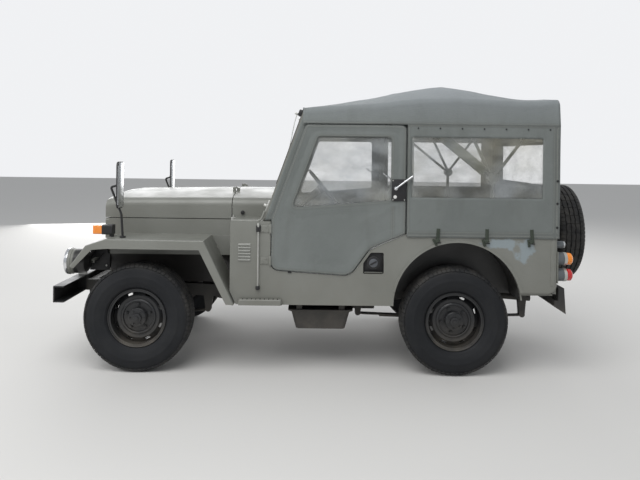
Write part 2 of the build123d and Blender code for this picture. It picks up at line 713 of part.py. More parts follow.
# Grille: flat stamped panel with a row of upright slots, closing the bonnet's front
GRILLE_X = 1662.0
GRILLE_LOW_Z = 575.0
GRILLE_OUTLINE = [
    # y, z, corner radius; the lower corners are cut back to clear the turned wheels
    (385.0, GRILLE_LOW_Z, 20.0),
    (385.0, 645.0, 20.0),
    (BONNET_HALF - 1, 690.0, 20.0),
    (BONNET_HALF - 1, BONNET_SEAM_Z - GAP, 20.0),
]
SLOT_COUNT = 9
SLOT_PITCH = 88.0
with BuildPart() as grille:
    with BuildSketch(cross_plane(GRILLE_X)):
        with BuildLine():
            FilletPolyline(
                *[(y, z) for y, z, radius in GRILLE_OUTLINE],
                *[(-y, z) for y, z, radius in reversed(GRILLE_OUTLINE)],
                radius=[radius for y, z, radius in GRILLE_OUTLINE + GRILLE_OUTLINE[::-1]],
                close=True,
            )
        make_face()
        with Locations((0, 850)):
            with GridLocations(SLOT_PITCH, 1, SLOT_COUNT, 1):
                SlotOverall(300, 44, rotation=90, mode=Mode.SUBTRACT)
    extrude(amount=BONNET_FRONT_X - GRILLE_X)
keep(grille, "grille")

# Radiator: finned core in its frame, seen through the grille's slots
with BuildPart() as radiator:
    with Locations((1590, 0, 800)):
        Box(64, 560, 440)
keep(radiator, "radiator")

# Bonnet: one crowned lid with deep sides and a rounded nose, hinged at the cowl
BONNET_SECTIONS = [
    # x, shoulder z, crest z
    (BONNET_REAR_X, SHOULDER_Z, CREST_REAR_Z),
    (1560.0, 1203.0, CREST_FRONT_Z),
    (1645.0, 1197.0, 1232.0),
    (BONNET_FRONT_X, 1186.0, 1214.0),
]
with BuildPart() as bonnet:
    loft([
        crowned_section(x, BONNET_HALF, BONNET_HALF, BONNET_SEAM_Z, shoulder_z, crest_z)
        for x, shoulder_z, crest_z in BONNET_SECTIONS
    ], ruled=True)
    inner_half = BONNET_HALF - SHEET
    loft([
        crowned_section(
            min(x, BONNET_FRONT_X - SHEET), inner_half, inner_half, BONNET_SEAM_Z,
            shoulder_z - SHEET, crest_z - SHEET, SHOULDER_R - SHEET,
        )
        for x, shoulder_z, crest_z in BONNET_SECTIONS
    ], ruled=True, mode=Mode.SUBTRACT)
    for side in (1, -1):
        with Locations((764, side * (HINGE_Y + 7), HINGE_Z - 22)):
            Box(22, 12, 44)
        with Locations(Location((HINGE_X, side * (HINGE_Y + 7), HINGE_Z), (90, 0, 0))):
            Cylinder(8, 12)
        with Locations(((HINGE_X + 775) / 2, side * (HINGE_Y + 7), HINGE_Z)):
            Box(775 - HINGE_X, 12, 10)
keep(bonnet, "bonnet")

# Front wings: one folded sheet from the lamp slope over the wheel to the sill, with an
# outer lip, the fixed panel below the bonnet's side and the sloping inner apron
WING_PATH = [
    # x, z of the outer line; x, z of the lip's lower line
    (1810.0, 752.0, 1783.0, 738.0),
    (1704.0, 893.0, 1660.0, 866.0),
    (1566.0, 940.0, 1560.0, 874.0),
    (*STRAP_TOP, 925.0, 872.0),
    (*STRAP_LOW, 736.0, 500.0),
]
WING_SHEET = 12.0
APRON_PATH = [(494.0, 932.0), (494.0, 790.0), (374.0, 568.0)]
WING_SIDES = {"wing_left": 1, "wing_right": -1}
WING_EDGE_R = 8.0


def on_outer_line(point):
    """Whether a point lies on the wing's outer line in the XZ plane."""
    for (x0, z0, *_), (x1, z1, *_) in zip(WING_PATH, WING_PATH[1:]):
        length = hypot(x1 - x0, z1 - z0)
        away = abs((point.X - x0) * (z1 - z0) - (point.Z - z0) * (x1 - x0)) / length
        if away < 0.5 and min(x0, x1) < point.X < max(x0, x1):
            return True
    return False


for wing_name, side in WING_SIDES.items():
    outer_line = [(x, z) for x, z, lip_x, lip_z in WING_PATH]
    lip_line = [(lip_x, lip_z) for x, z, lip_x, lip_z in WING_PATH]
    with BuildPart() as wing:
        with BuildSketch(side_plane(HALF_WIDTH)):
            with BuildLine():
                Polyline(*outer_line, *reversed(lip_line), close=True)
            make_face()
        extrude(amount=WING_SHEET)
        with BuildSketch(side_plane(HALF_WIDTH)):
            with BuildLine():
                Polyline(*outer_line)
                offset(amount=WING_SHEET, side=Side.LEFT)
            make_face()
        extrude(amount=HALF_WIDTH - BONNET_HALF)
        with Locations(((COWL_FRONT_X + GRILLE_X) / 2, BONNET_HALF - 7, 989)):
            Box(GRILLE_X - COWL_FRONT_X - 2, 14, 122)
        with BuildSketch(cross_plane(COWL_FRONT_X)):
            with BuildLine():
                Polyline(*APRON_PATH)
                offset(amount=10, side=Side.LEFT)
            make_face()
        extrude(amount=GRILLE_X - COWL_FRONT_X - 2)
        with Locations(Location((1850, LAMP_Y, LAMP_Z), (0, 90, 0))):
            Cylinder(LAMP_R + 1, 300, mode=Mode.SUBTRACT)
        outer_edges = wing.faces().filter_by(Axis.Y).sort_by(Axis.Y)[-1].edges()
        fillet([edge for edge in outer_edges if on_outer_line(edge.center())], WING_EDGE_R)
        if side < 0:
            mirror(about=Plane.XZ, mode=Mode.REPLACE)
    keep(wing, wing_name)

# Windscreen frame: pillars, header, bottom rail and the two gussets beside the cowl's crown
SCREEN_RUN = hypot(SCREEN_FOOT[0] - SCREEN_HEAD[0], SCREEN_HEAD[1] - SCREEN_FOOT[1])
SCREEN_PLANE = Plane(
    origin=(SCREEN_FOOT[0], 0, SCREEN_FOOT[1]),
    x_dir=(0, 1, 0),
    z_dir=(cos(radians(SCREEN_TILT)), 0, sin(radians(SCREEN_TILT))),
)
GLASS_LOW = 272.0
GLASS_TOP = 782.0
GLASS_HALF = 722.0
RAIL_LOW = 218.0
with BuildPart() as windscreen_frame:
    with BuildSketch(SCREEN_PLANE):
        with Locations((0, SCREEN_RUN / 2)):
            RectangleRounded(2 * SCREEN_HALF, SCREEN_RUN, 30)
        with Locations((0, (GLASS_LOW + GLASS_TOP) / 2)):
            RectangleRounded(2 * GLASS_HALF, GLASS_TOP - GLASS_LOW, 35, mode=Mode.SUBTRACT)
        with Locations((0, RAIL_LOW / 2 - 40)):
            RectangleRounded(2 * BONNET_HALF + 50, RAIL_LOW + 80, 20, mode=Mode.SUBTRACT)
    extrude(amount=-SCREEN_DEPTH)
    with Locations((SCREEN_FOOT[0], 0, SHELF_Z - 50)):
        Box(400, 2 * BODY_Y, 100, mode=Mode.SUBTRACT)
keep(windscreen_frame, "windscreen_frame")

with BuildPart() as windscreen_glass:
    with BuildSketch(SCREEN_PLANE.offset(-SCREEN_DEPTH / 2)):
        with Locations((0, (GLASS_LOW + GLASS_TOP) / 2)):
            RectangleRounded(2 * GLASS_HALF, GLASS_TOP - GLASS_LOW, 35)
    extrude(amount=6)
keep(windscreen_glass, "windscreen_glass")

# Doors: canvas over a steel lower frame, hung at the cowl, each with a clear sheet window
PILLAR_SLOPE = tan(radians(SCREEN_TILT))
PILLAR_REAR_X = SCREEN_FOOT[0] - SCREEN_DEPTH / cos(radians(SCREEN_TILT))
DOOR_TOP_Z = VALANCE_Z
DOOR_THICK = 24.0
DOOR_HINGE_X = 437.0
DOOR_HINGE_Y = 799.0
DOOR_WINDOW = [
    # x, z, corner radius
    (288.0, 1170.0, 22.0),
    (112.0, 1662.0, 22.0),
    (-392.0, 1662.0, 22.0),
    (-392.0, 1226.0, 22.0),
]
PANE_DEPTH = 10.0
PANE = 3.0


def door_cell():
    """Closed outline that the door fills, less the gap around it, in the XZ plane."""
    corner_z = SCREEN_FOOT[1] + (PILLAR_REAR_X - DOOR_HINGE_X) / PILLAR_SLOPE
    head_x = PILLAR_REAR_X - (DOOR_TOP_Z - SCREEN_FOOT[1]) * PILLAR_SLOPE
    points = DOOR_OPENING[:3] + [
        (DOOR_REAR_X, TUB_TOP_Z, 0.0),
        (DOOR_REAR_X, DOOR_TOP_Z, 40.0),
        (head_x, DOOR_TOP_Z, 30.0),
        (DOOR_HINGE_X, corner_z, 0.0),
    ]
    with BuildSketch() as cell:
        with BuildLine():
            FilletPolyline(
                *[(x, z) for x, z, radius in points],
                radius=[radius for x, z, radius in points],
                close=True,
            )
        make_face()
        offset(amount=-GAP, kind=Kind.INTERSECTION)
    return cell.sketch


for door_name, side in {"door_left": 1, "door_right": -1}.items():
    with BuildSketch(side_plane(CANVAS_Y)) as door_outline:
        add(door_cell())
        with BuildLine():
            FilletPolyline(
                *[(x, z) for x, z, radius in DOOR_WINDOW],
                radius=[radius for x, z, radius in DOOR_WINDOW],
                close=True,
            )
        make_face(mode=Mode.SUBTRACT)
    with BuildPart() as door:
        extrude(door_outline.sketch, amount=DOOR_THICK)
        for barrel_z in (800, 1020):
            with Locations((DOOR_HINGE_X, DOOR_HINGE_Y, barrel_z)):
                Cylinder(8, 60)
        if side < 0:
            mirror(about=Plane.XZ, mode=Mode.REPLACE)
    keep(door, door_name)
    with BuildPart() as pane:
        with BuildSketch(side_plane(CANVAS_Y - PANE_DEPTH)):
            with BuildLine():
                FilletPolyline(
                    *[(x, z) for x, z, radius in DOOR_WINDOW],
                    radius=[radius for x, z, radius in DOOR_WINDOW],
                    close=True,
                )
            make_face()
        extrude(amount=PANE)
        if side < 0:
            mirror(about=Plane.XZ, mode=Mode.REPLACE)
    keep(pane, door_name + "_pane")

# Canvas top: crowned roof, side and rear curtains with their windows cut
ROOF_SECTIONS = [
    # x, shoulder z, crest z
    (226.0, 1872.0, 1900.0),
    (-145.0, 1905.0, 1980.0),
    (-845.0, 1950.0, 2092.0),
    (-1300.0, 1950.0, 2025.0),
    (TAIL_X - CANVAS, 1944.0, 1985.0),
]
ROOF_HALF = 786.0
SIDE_WINDOW = [
    # x, z, corner radius
    (-534.0, 1250.0, 30.0),
    (-534.0, 1664.0, 30.0),
    (-1438.0, 1664.0, 30.0),
    (-1438.0, 1250.0, 30.0),
]
REAR_WINDOW = (1000.0, 300.0, 1480.0)
CURTAIN_FRONT_X = DOOR_REAR_X
with BuildPart() as canopy:
    loft([
        crowned_section(x, CANVAS_Y, ROOF_HALF, VALANCE_Z, shoulder_z, crest_z)
        for x, shoulder_z, crest_z in ROOF_SECTIONS
    ], ruled=True)
    loft([
        crowned_section(
            x, CANVAS_Y - CANVAS, ROOF_HALF - CANVAS, VALANCE_Z, shoulder_z - CANVAS,
            crest_z - CANVAS, SHOULDER_R - CANVAS,
        )
        for x, shoulder_z, crest_z in ROOF_SECTIONS
    ], ruled=True, mode=Mode.SUBTRACT)
    rear_x, rear_shoulder_z, rear_crest_z = ROOF_SECTIONS[-1]
    rear_wall = crowned_section(
        rear_x, CANVAS_Y, ROOF_HALF, VALANCE_Z, rear_shoulder_z, rear_crest_z
    )
    extrude(rear_wall, amount=CANVAS)
    with BuildSketch(cross_plane(TAIL_X - CANVAS)):
        with Locations((0, (VALANCE_Z + CURTAIN_LOW_Z) / 2)):
            Rectangle(2 * CANVAS_Y, VALANCE_Z - CURTAIN_LOW_Z)
        with Locations((0, (TUB_TOP_Z + GAP + CURTAIN_LOW_Z) / 2)):
            Rectangle(2 * GATE_HALF, TUB_TOP_Z + GAP - CURTAIN_LOW_Z, mode=Mode.SUBTRACT)
    extrude(amount=CANVAS)
    with BuildSketch(cross_plane(TAIL_X - CANVAS)):
        with Locations((0, REAR_WINDOW[2])):
            RectangleRounded(REAR_WINDOW[0], REAR_WINDOW[1], 30)
    extrude(amount=CANVAS, mode=Mode.SUBTRACT)
    for curtain_y in (CANVAS_Y, -CANVAS_Y + CANVAS):
        with BuildSketch(side_plane(curtain_y)):
            with BuildLine():
                Polyline(
                    (CURTAIN_FRONT_X, VALANCE_Z), (CURTAIN_FRONT_X, CURTAIN_LOW_Z),
                    (TAIL_X - CANVAS, CURTAIN_LOW_Z), (TAIL_X - CANVAS, VALANCE_Z), close=True,
                )
            make_face()
            with BuildLine():
                FilletPolyline(
                    *[(x, z) for x, z, radius in SIDE_WINDOW],
                    radius=[radius for x, z, radius in SIDE_WINDOW],
                    close=True,
                )
            make_face(mode=Mode.SUBTRACT)
        extrude(amount=CANVAS)
keep(canopy, "canopy")

# Clear sheet windows of the side and rear curtains
with BuildPart() as canopy_windows:
    for pane_y in (CANVAS_Y - 3, -CANVAS_Y + 3 + PANE):
        with BuildSketch(side_plane(pane_y)):
            with BuildLine():
                FilletPolyline(
                    *[(x, z) for x, z, radius in SIDE_WINDOW],
                    radius=[radius for x, z, radius in SIDE_WINDOW],
                    close=True,
                )
            make_face()
        extrude(amount=PANE)
    with BuildSketch(cross_plane(TAIL_X - CANVAS + 3)):
        with Locations((0, REAR_WINDOW[2])):
            RectangleRounded(REAR_WINDOW[0], REAR_WINDOW[1], 30)
    extrude(amount=PANE)
keep(canopy_windows, "canopy_windows")

# Canvas bows: post and pivot each side, with three hoops that fold forward about the pivots
BOW_R = 11.0
BOW_Y = 742.0
PIVOT_X = -1110.0
PIVOT_Z = 1386.0
HUB_DISC_R = 36.0
POST_TOP_Z = 1850.0
HOOPS = [
    # x at the roof, height of the straight top, y of the arms
    (-470.0, 1900.0, BOW_Y),
    (-845.0, 1932.0, BOW_Y - 26.0),
    (-1510.0, 1915.0, BOW_Y),
]
with BuildPart() as canopy_bows:
    for hoop_x, hoop_z, arm_y in HOOPS:
        toward = Vector(hoop_x - PIVOT_X, 0, hoop_z - PIVOT_Z).normalized()
        foot = Vector(PIVOT_X, arm_y, PIVOT_Z) + toward * 20
        with BuildLine():
            FilletPolyline(
                foot, (hoop_x, arm_y, hoop_z), (hoop_x, -arm_y, hoop_z),
                (foot.X, -arm_y, foot.Z), radius=110,
            )
        with BuildSketch(Plane(foot, z_dir=toward)):
            Circle(BOW_R)
        sweep()
    for side in (1, -1):
        with Locations((PIVOT_X, side * BOW_Y, (TUB_TOP_Z + PIVOT_Z) / 2)):
            Cylinder(BOW_R + 2, PIVOT_Z - TUB_TOP_Z)
        with Locations(Location((PIVOT_X, side * (BOW_Y - 13), PIVOT_Z), (90, 0, 0))):
            Cylinder(HUB_DISC_R, 56)
        with Locations((PIVOT_X, side * (FLOOR_HALF - 12), TUB_TOP_Z - 40)):
            Box(60, 24, 80)
        with Locations((DOOR_REAR_X - 24, side * BOW_Y, (TUB_TOP_Z + POST_TOP_Z) / 2)):
            Cylinder(BOW_R + 2, POST_TOP_Z - TUB_TOP_Z)
        with Locations((DOOR_REAR_X - 24, side * (FLOOR_HALF - 12), TUB_TOP_Z - 40)):
            Box(60, 24, 80)
keep(canopy_bows, "canopy_bows")

# Seats: tubular frames with sprung pans, and plank benches over the wheel houses
SEAT_Y = 300.0
SEAT_WIDTH = 430.0
SEAT_FRONT_X = -70.0
SEAT_REAR_X = -500.0
SEAT_PAN_Z = 770.0
SEAT_TUBE_R = 12.0
BACK_LEAN = 90.0
BACK_TOP_Z = 1310.0
BENCH_Z = 960.0
BENCH_Y = 602.0
BENCH_WIDTH = 244.0
with BuildPart() as seat_frames:
    for side in (1, -1):
        for tube_y in (side * SEAT_Y - SEAT_WIDTH / 2 + 14, side * SEAT_Y + SEAT_WIDTH / 2 - 14):
            base_z = FLOOR_Z + FLOOR_THICK
            with BuildLine():
                FilletPolyline(
                    (SEAT_FRONT_X - 20, tube_y, base_z + 0.5),
                    (SEAT_FRONT_X - 20, tube_y, SEAT_PAN_Z),
                    (SEAT_REAR_X - 24, tube_y, SEAT_PAN_Z),
                    (SEAT_REAR_X - 24 - BACK_LEAN, tube_y, BACK_TOP_Z - 40),
                    radius=40,
                )
            with BuildSketch(Plane((SEAT_FRONT_X - 20, tube_y, base_z), z_dir=(0, 0, 1))):
                Circle(SEAT_TUBE_R)
            sweep()
            leg_top = SEAT_PAN_Z
            leg_low = REAR_FLOOR_Z + FLOOR_THICK
            with Locations((SEAT_REAR_X + 20, tube_y, (leg_top + leg_low) / 2)):
                Cylinder(SEAT_TUBE_R, leg_top - leg_low)
        with Locations(((SEAT_FRONT_X + SEAT_REAR_X) / 2, side * SEAT_Y, SEAT_PAN_Z + 6)):
            Box(380, SEAT_WIDTH - 40, 12)
        with Locations((SEAT_REAR_X - 24 - 0.8 * BACK_LEAN, side * SEAT_Y, BACK_TOP_Z - 150)):
            Box(10, SEAT_WIDTH - 30, 40)
    for side in (1, -1):
        with Locations((-1040, side * BENCH_Y, BENCH_Z + 8)):
            Box(860, BENCH_WIDTH, 16)
        for leg_x in (-640, -1440):
            with Locations((leg_x, side * (HOUSE_INNER_Y - 18), (BENCH_Z + leg_low) / 2)):
                Box(30, 30, BENCH_Z - leg_low)
keep(seat_frames, "seat_frames")

CUSHION = 95.0
with BuildPart() as seat_cushions:
    for side in (1, -1):
        cushion_x = (SEAT_FRONT_X + SEAT_REAR_X) / 2 + 6
        with Locations((cushion_x, side * SEAT_Y, SEAT_PAN_Z + 13 + CUSHION / 2)):
            Box(410, SEAT_WIDTH, CUSHION)
        back_base = Vector(SEAT_REAR_X - 40, side * SEAT_Y, SEAT_PAN_Z + 130)
        back_up = Vector(-BACK_LEAN, 0, BACK_TOP_Z - 40 - SEAT_PAN_Z)
        with BuildSketch(Plane(back_base, x_dir=(0, 1, 0), z_dir=back_up)):
            with Locations((0, -46)):
                Rectangle(SEAT_WIDTH, 70)
        extrude(amount=400)
        with Locations((-1040, side * BENCH_Y, BENCH_Z + 16.5 + 30)):
            Box(840, BENCH_WIDTH - 6, 60)
keep(seat_cushions, "seat_cushions")

# Steering column and wheel, on the right-hand side
with BuildPart() as steering_column:
    column_start = WHEEL_CENTRE + COLUMN_DIR * 52
    with BuildSketch(Plane(column_start, z_dir=COLUMN_DIR)):
        Circle(COLUMN_R)
    extrude(amount=690)
    with BuildSketch(Plane(column_start, z_dir=COLUMN_DIR)):
        Circle(32)
    extrude(amount=90)
keep(steering_column, "steering_column")

with BuildPart() as steering_wheel:
    wheel_plane = Plane(WHEEL_CENTRE, x_dir=(0, 1, 0), z_dir=COLUMN_DIR)
    with BuildSketch(Plane(wheel_plane.origin, x_dir=COLUMN_DIR, z_dir=(0, -1, 0))):
        with Locations((0, WHEEL_R - GRIP_R)):
            Circle(GRIP_R)
    revolve(axis=Axis(WHEEL_CENTRE, COLUMN_DIR))
    with BuildSketch(wheel_plane.offset(-14)):
        Circle(38)
    extrude(amount=60)
    with BuildSketch(wheel_plane.offset(-5)):
        with PolarLocations(0, 3, start_angle=90):
            with Locations((WHEEL_R / 2, 0)):
                Rectangle(WHEEL_R - 20, 24)
    extrude(amount=10)
keep(steering_wheel, "steering_wheel")


def axial_plane(x, y, z):
    """Sketch plane through a fore-and-aft axis: local x runs forward, local y runs up."""
    return Plane(origin=(x, y, z), x_dir=(1, 0, 0), z_dir=(0, -1, 0))


def cap_middle(tip_x, rise, radius):
    """Point halfway along a lens cap's section, whose sphere is centred on the lamp's axis."""
    sphere_r = (radius * radius + rise * rise) / (2 * abs(rise))
    half_turn = asin(radius / sphere_r) / 2
    along = 1 if rise > 0 else -1
    return (tip_x - along * sphere_r * (1 - cos(half_turn)), sphere_r * sin(half_turn))


# Headlamps: round buckets set into the wing slopes, with a domed lens in front
LENS_R = 80.0
LENS_X = 1880.0
LAMP_FRONT_X = 1908.0
LENS_RISE = 16.0
BUCKET_LINE = [
    # x, radius
    (1747.0, 0.0),
    (1747.0, 44.0),
    (1771.0, 76.0),
    (1815.0, LAMP_R - 5),
    (LENS_X - 18, LAMP_R - 5),
    (LENS_X - 12, LAMP_R),
    (LAMP_FRONT_X - 6, LAMP_R),
    (LAMP_FRONT_X - 6, LENS_R),
    (LENS_X, LENS_R),
    (LENS_X, 0.0),
]
with BuildPart() as headlamp_buckets:
    for side in (1, -1):
        with BuildSketch(axial_plane(0, side * LAMP_Y, LAMP_Z)):
            with BuildLine():
                Polyline(*BUCKET_LINE, close=True)
            make_face()
        revolve(axis=Axis((0, side * LAMP_Y, LAMP_Z), (1, 0, 0)))
keep(headlamp_buckets, "headlamp_buckets")

with BuildPart() as headlamp_lenses:
    for side in (1, -1):
        with BuildSketch(axial_plane(0, side * LAMP_Y, LAMP_Z)):
            with BuildLine():
                Polyline(
                    (LAMP_FRONT_X, 0), (LENS_X, 0), (LENS_X, LENS_R),
                    (LAMP_FRONT_X - LENS_RISE, LENS_R),
                )
                ThreePointArc(
                    (LAMP_FRONT_X - LENS_RISE, LENS_R),
                    cap_middle(LAMP_FRONT_X, LENS_RISE, LENS_R),
                    (LAMP_FRONT_X, 0),
                )
            make_face()
        revolve(axis=Axis((0, side * LAMP_Y, LAMP_Z), (1, 0, 0)))
keep(headlamp_lenses, "headlamp_lenses")

# Signal lamps: housings on brackets, then the amber and the red lenses, in one table
SIGNALS = [
    # colour, y, z, mounting x, housing end x, lens end x, radius
    ("amber", 700.0, 991.0, 1553.0, 1626.0, 1690.0, 34.0),
    ("amber", 742.0, 831.0, TAIL_X, -1618.0, -1674.0, 44.0),
    ("red", 742.0, 719.0, TAIL_X, -1618.0, -1674.0, 44.0),
    ("clear", 742.0, 930.0, TAIL_X, -1602.0, -1620.0, 25.0),
]
STALK_FOOT_Z = 941.0
FRONT_LAMP_CORNER = 10.0
with BuildPart() as signal_housings:
    for colour, lamp_y, lamp_z, start_x, housing_x, lens_x, radius in SIGNALS:
        for side in (1, -1):
            if start_x > 0:
                with BuildSketch(cross_plane(start_x)):
                    with Locations((side * lamp_y, lamp_z)):
                        RectangleRounded(2 * radius, 2 * radius, FRONT_LAMP_CORNER)
                extrude(amount=housing_x - start_x)
                with Locations((start_x + 13, side * lamp_y, (lamp_z + STALK_FOOT_Z) / 2)):
                    Box(24, 30, lamp_z - STALK_FOOT_Z)
            else:
                middle_x = (start_x + housing_x) / 2
                with Locations(Location((middle_x, side * lamp_y, lamp_z), (0, 90, 0))):
                    Cylinder(radius, abs(housing_x - start_x))
keep(signal_housings, "signal_housings")

for lens_colour in ("amber", "red", "clear"):
    with BuildPart() as lenses:
        for colour, lamp_y, lamp_z, start_x, housing_x, lens_x, radius in SIGNALS:
            if colour == lens_colour and start_x > 0:
                with BuildSketch(cross_plane(housing_x)):
                    with Locations((lamp_y, lamp_z), (-lamp_y, lamp_z)):
                        RectangleRounded(2 * radius - 6, 2 * radius - 6, FRONT_LAMP_CORNER - 3)
                extrude(amount=lens_x - housing_x)
                fillet(lenses.faces().filter_by(Axis.X).group_by(Axis.X)[-1].edges(), 5)
            elif colour == lens_colour:
                for side in (1, -1):
                    rise = 0.35 * (lens_x - housing_x)
                    with BuildSketch(axial_plane(0, side * lamp_y, lamp_z)):
                        with BuildLine():
                            Polyline(
                                (lens_x, 0), (housing_x, 0), (housing_x, radius - 3),
                                (lens_x - rise, radius - 3),
                            )
                            ThreePointArc(
                                (lens_x - rise, radius - 3),
                                cap_middle(lens_x, rise, radius - 3),
                                (lens_x, 0),
                            )
                        make_face()
                    revolve(axis=Axis((0, side * lamp_y, lamp_z), (1, 0, 0)))
    keep(lenses, f"{lens_colour}_lenses")

# Wing mirrors: a tall head on a bent tube stalk, one on each wing
MIRROR_Y = 742.0
MIRROR_BACK_X = 1490.0
MIRROR_Z = 1308.0
STALK = [(1475.0, STALK_FOOT_Z), (1487.0, 1105.0), (1562.0, 1292.0), (1504.0, MIRROR_Z)]
MIRROR_THICK = 18.0
with BuildPart() as mirrors:
    for side in (1, -1):
        with BuildSketch(cross_plane(MIRROR_BACK_X)):
            with Locations((side * MIRROR_Y, MIRROR_Z)):
                RectangleRounded(116, 328, 30)
        extrude(amount=MIRROR_THICK)
    fillet(mirrors.faces().filter_by(Axis.X).edges(), 6)
    for side in (1, -1):
        with BuildLine():
            FilletPolyline(*[(x, side * MIRROR_Y, z) for x, z in STALK], radius=(60, 12))
        with BuildSketch(Plane.XY.offset(STALK[0][1])):
            with Locations((STALK[0][0], side * MIRROR_Y)):
                Circle(8)
        sweep()
keep(mirrors, "mirrors")

# Tailgate: a side-hung panel in the tail opening, with the spare wheel's bracket
GATE_THICK = 22.0
SPARE_X = -HALF_LENGTH + TYRE_WIDTH / 2
SPARE_Z = 937.0
CARRIER_FACE = 20.0
with BuildPart() as tailgate:
    with BuildSketch(cross_plane(TAIL_X)):
        with Locations((0, (GATE_LOW_Z + TUB_TOP_Z + 5) / 2)):
            RectangleRounded(2 * GATE_HALF - 10, TUB_TOP_Z - GATE_LOW_Z - 5, 18)
    extrude(amount=GATE_THICK)
    with BuildSketch(cross_plane(TAIL_X - 17)):
        with Locations((0, 815)):
            RectangleRounded(360, 240, 20)
    extrude(amount=17)
    with BuildSketch(cross_plane(TAIL_X - 17)):
        with Locations((0, 830)):
            RectangleRounded(220, 190, 20)
    with BuildSketch(cross_plane(TAIL_X - 90)):
        with Locations((0, SPARE_Z - 20)):
            RectangleRounded(130, 150, 20)
    loft()
    carrier_length = abs(SPARE_X - CARRIER_FACE - (TAIL_X - 90))
    with Locations(Location((TAIL_X - 90 - carrier_length / 2, 0, SPARE_Z), (0, 90, 0))):
        Cylinder(56, carrier_length)
    for hinge_z in (680, 900):
        with Locations((TAIL_X - 14, -GATE_HALF - 5, hinge_z)):
            Cylinder(8, 60)
        with Locations((TAIL_X - 10, -GATE_HALF + 25, hinge_z)):
            Box(13, 60, 40)
        with Locations((TAIL_X - 8, -GATE_HALF + 35, hinge_z)):
            Box(16, 40, 40)
keep(tailgate, "tailgate")

# Wheels: tyre, and steel rim with its dished disc; road wheels carry the hub and drum
TYRE_LINE = [
    # along the axle from the middle plane, radius
    (65.0, RIM_SEAT_R + 0.3),
    (69.0, RIM_FLANGE_R + 1.0),
    (82.0, 214.0),
    (101.0, 240.0),
    (TYRE_WIDTH / 2, 285.0),
    (103.0, 334.0),
    (90.0, 366.0),
    (70.0, 375.0),
    (0.0, TYRE_R),
]
RIM_LINE = [
    (-76.0, RIM_FLANGE_R), (-70.0, RIM_FLANGE_R), (-66.0, RIM_SEAT_R), (66.0, RIM_SEAT_R),
    (70.0, RIM_FLANGE_R), (76.0, RIM_FLANGE_R), (76.0, RIM_SEAT_R - 6), (-76.0, RIM_SEAT_R - 6),
]
DISC_LINE = [
    (-2.0, RIM_SEAT_R - 3), (12.0, RIM_SEAT_R - 3), (38.0, 148.0), (34.0, 112.0),
    (34.0, 60.0), (CARRIER_FACE, 60.0), (CARRIER_FACE, 112.0), (24.0, 142.0),
]
VENT_COUNT = 8
VENT_R = 164.0
DRUM_LINE = [
    (-72.0, HUB_BORE_R), (-72.0, DRUM_R), (8.0, DRUM_R), (CARRIER_FACE, 136.0),
    (CARRIER_FACE, 64.0), (64.0, 64.0), (74.0, 52.0), (74.0, 0.0), (54.0, 0.0),
    (54.0, HUB_BORE_R),
]
WHEELS = [
    # name, x, y, z of the middle, way the disc faces, has a drum
    ("front_left", FRONT_AXLE_X, HALF_TRACK, HUB_Z, (0, 1, 0), True),
    ("front_right", FRONT_AXLE_X, -HALF_TRACK, HUB_Z, (0, -1, 0), True),
    ("rear_left", REAR_AXLE_X, HALF_TRACK, HUB_Z, (0, 1, 0), True),
    ("rear_right", REAR_AXLE_X, -HALF_TRACK, HUB_Z, (0, -1, 0), True),
    ("spare", SPARE_X, 0.0, SPARE_Z, (-1, 0, 0), False),
]
for wheel_name, wheel_x, wheel_y, wheel_z, outward, has_drum in WHEELS:
    wheel_centre = Vector(wheel_x, wheel_y, wheel_z)
    axle_dir = Vector(*outward)
    section_plane = Plane(wheel_centre, x_dir=axle_dir, z_dir=axle_dir.cross(Vector(0, 0, 1)))
    wheel_axis = Axis(wheel_centre, axle_dir)
    with BuildPart() as tyre:
        with BuildSketch(section_plane):
            with BuildLine():
                Polyline(
                    *TYRE_LINE, *[(-along, radius) for along, radius in reversed(TYRE_LINE[:-1])],
                    close=True,
                )
            make_face()
        revolve(axis=wheel_axis)
    keep(tyre, f"tyre_{wheel_name}")
    with BuildPart() as rim:
        with BuildSketch(section_plane):
            for line in (RIM_LINE, DISC_LINE) + ((DRUM_LINE,) if has_drum else ()):
                with BuildLine():
                    Polyline(*line, close=True)
                make_face()
        revolve(axis=wheel_axis)
        face_plane = Plane(wheel_centre + axle_dir * 50, x_dir=(0, 0, 1), z_dir=axle_dir)
        with BuildSketch(face_plane):
            with PolarLocations(VENT_R, VENT_COUNT, start_angle=22.5):
                SlotOverall(40, 15, rotation=90)
        extrude(amount=-60, mode=Mode.SUBTRACT)
    keep(rim, f"rim_{wheel_name}")

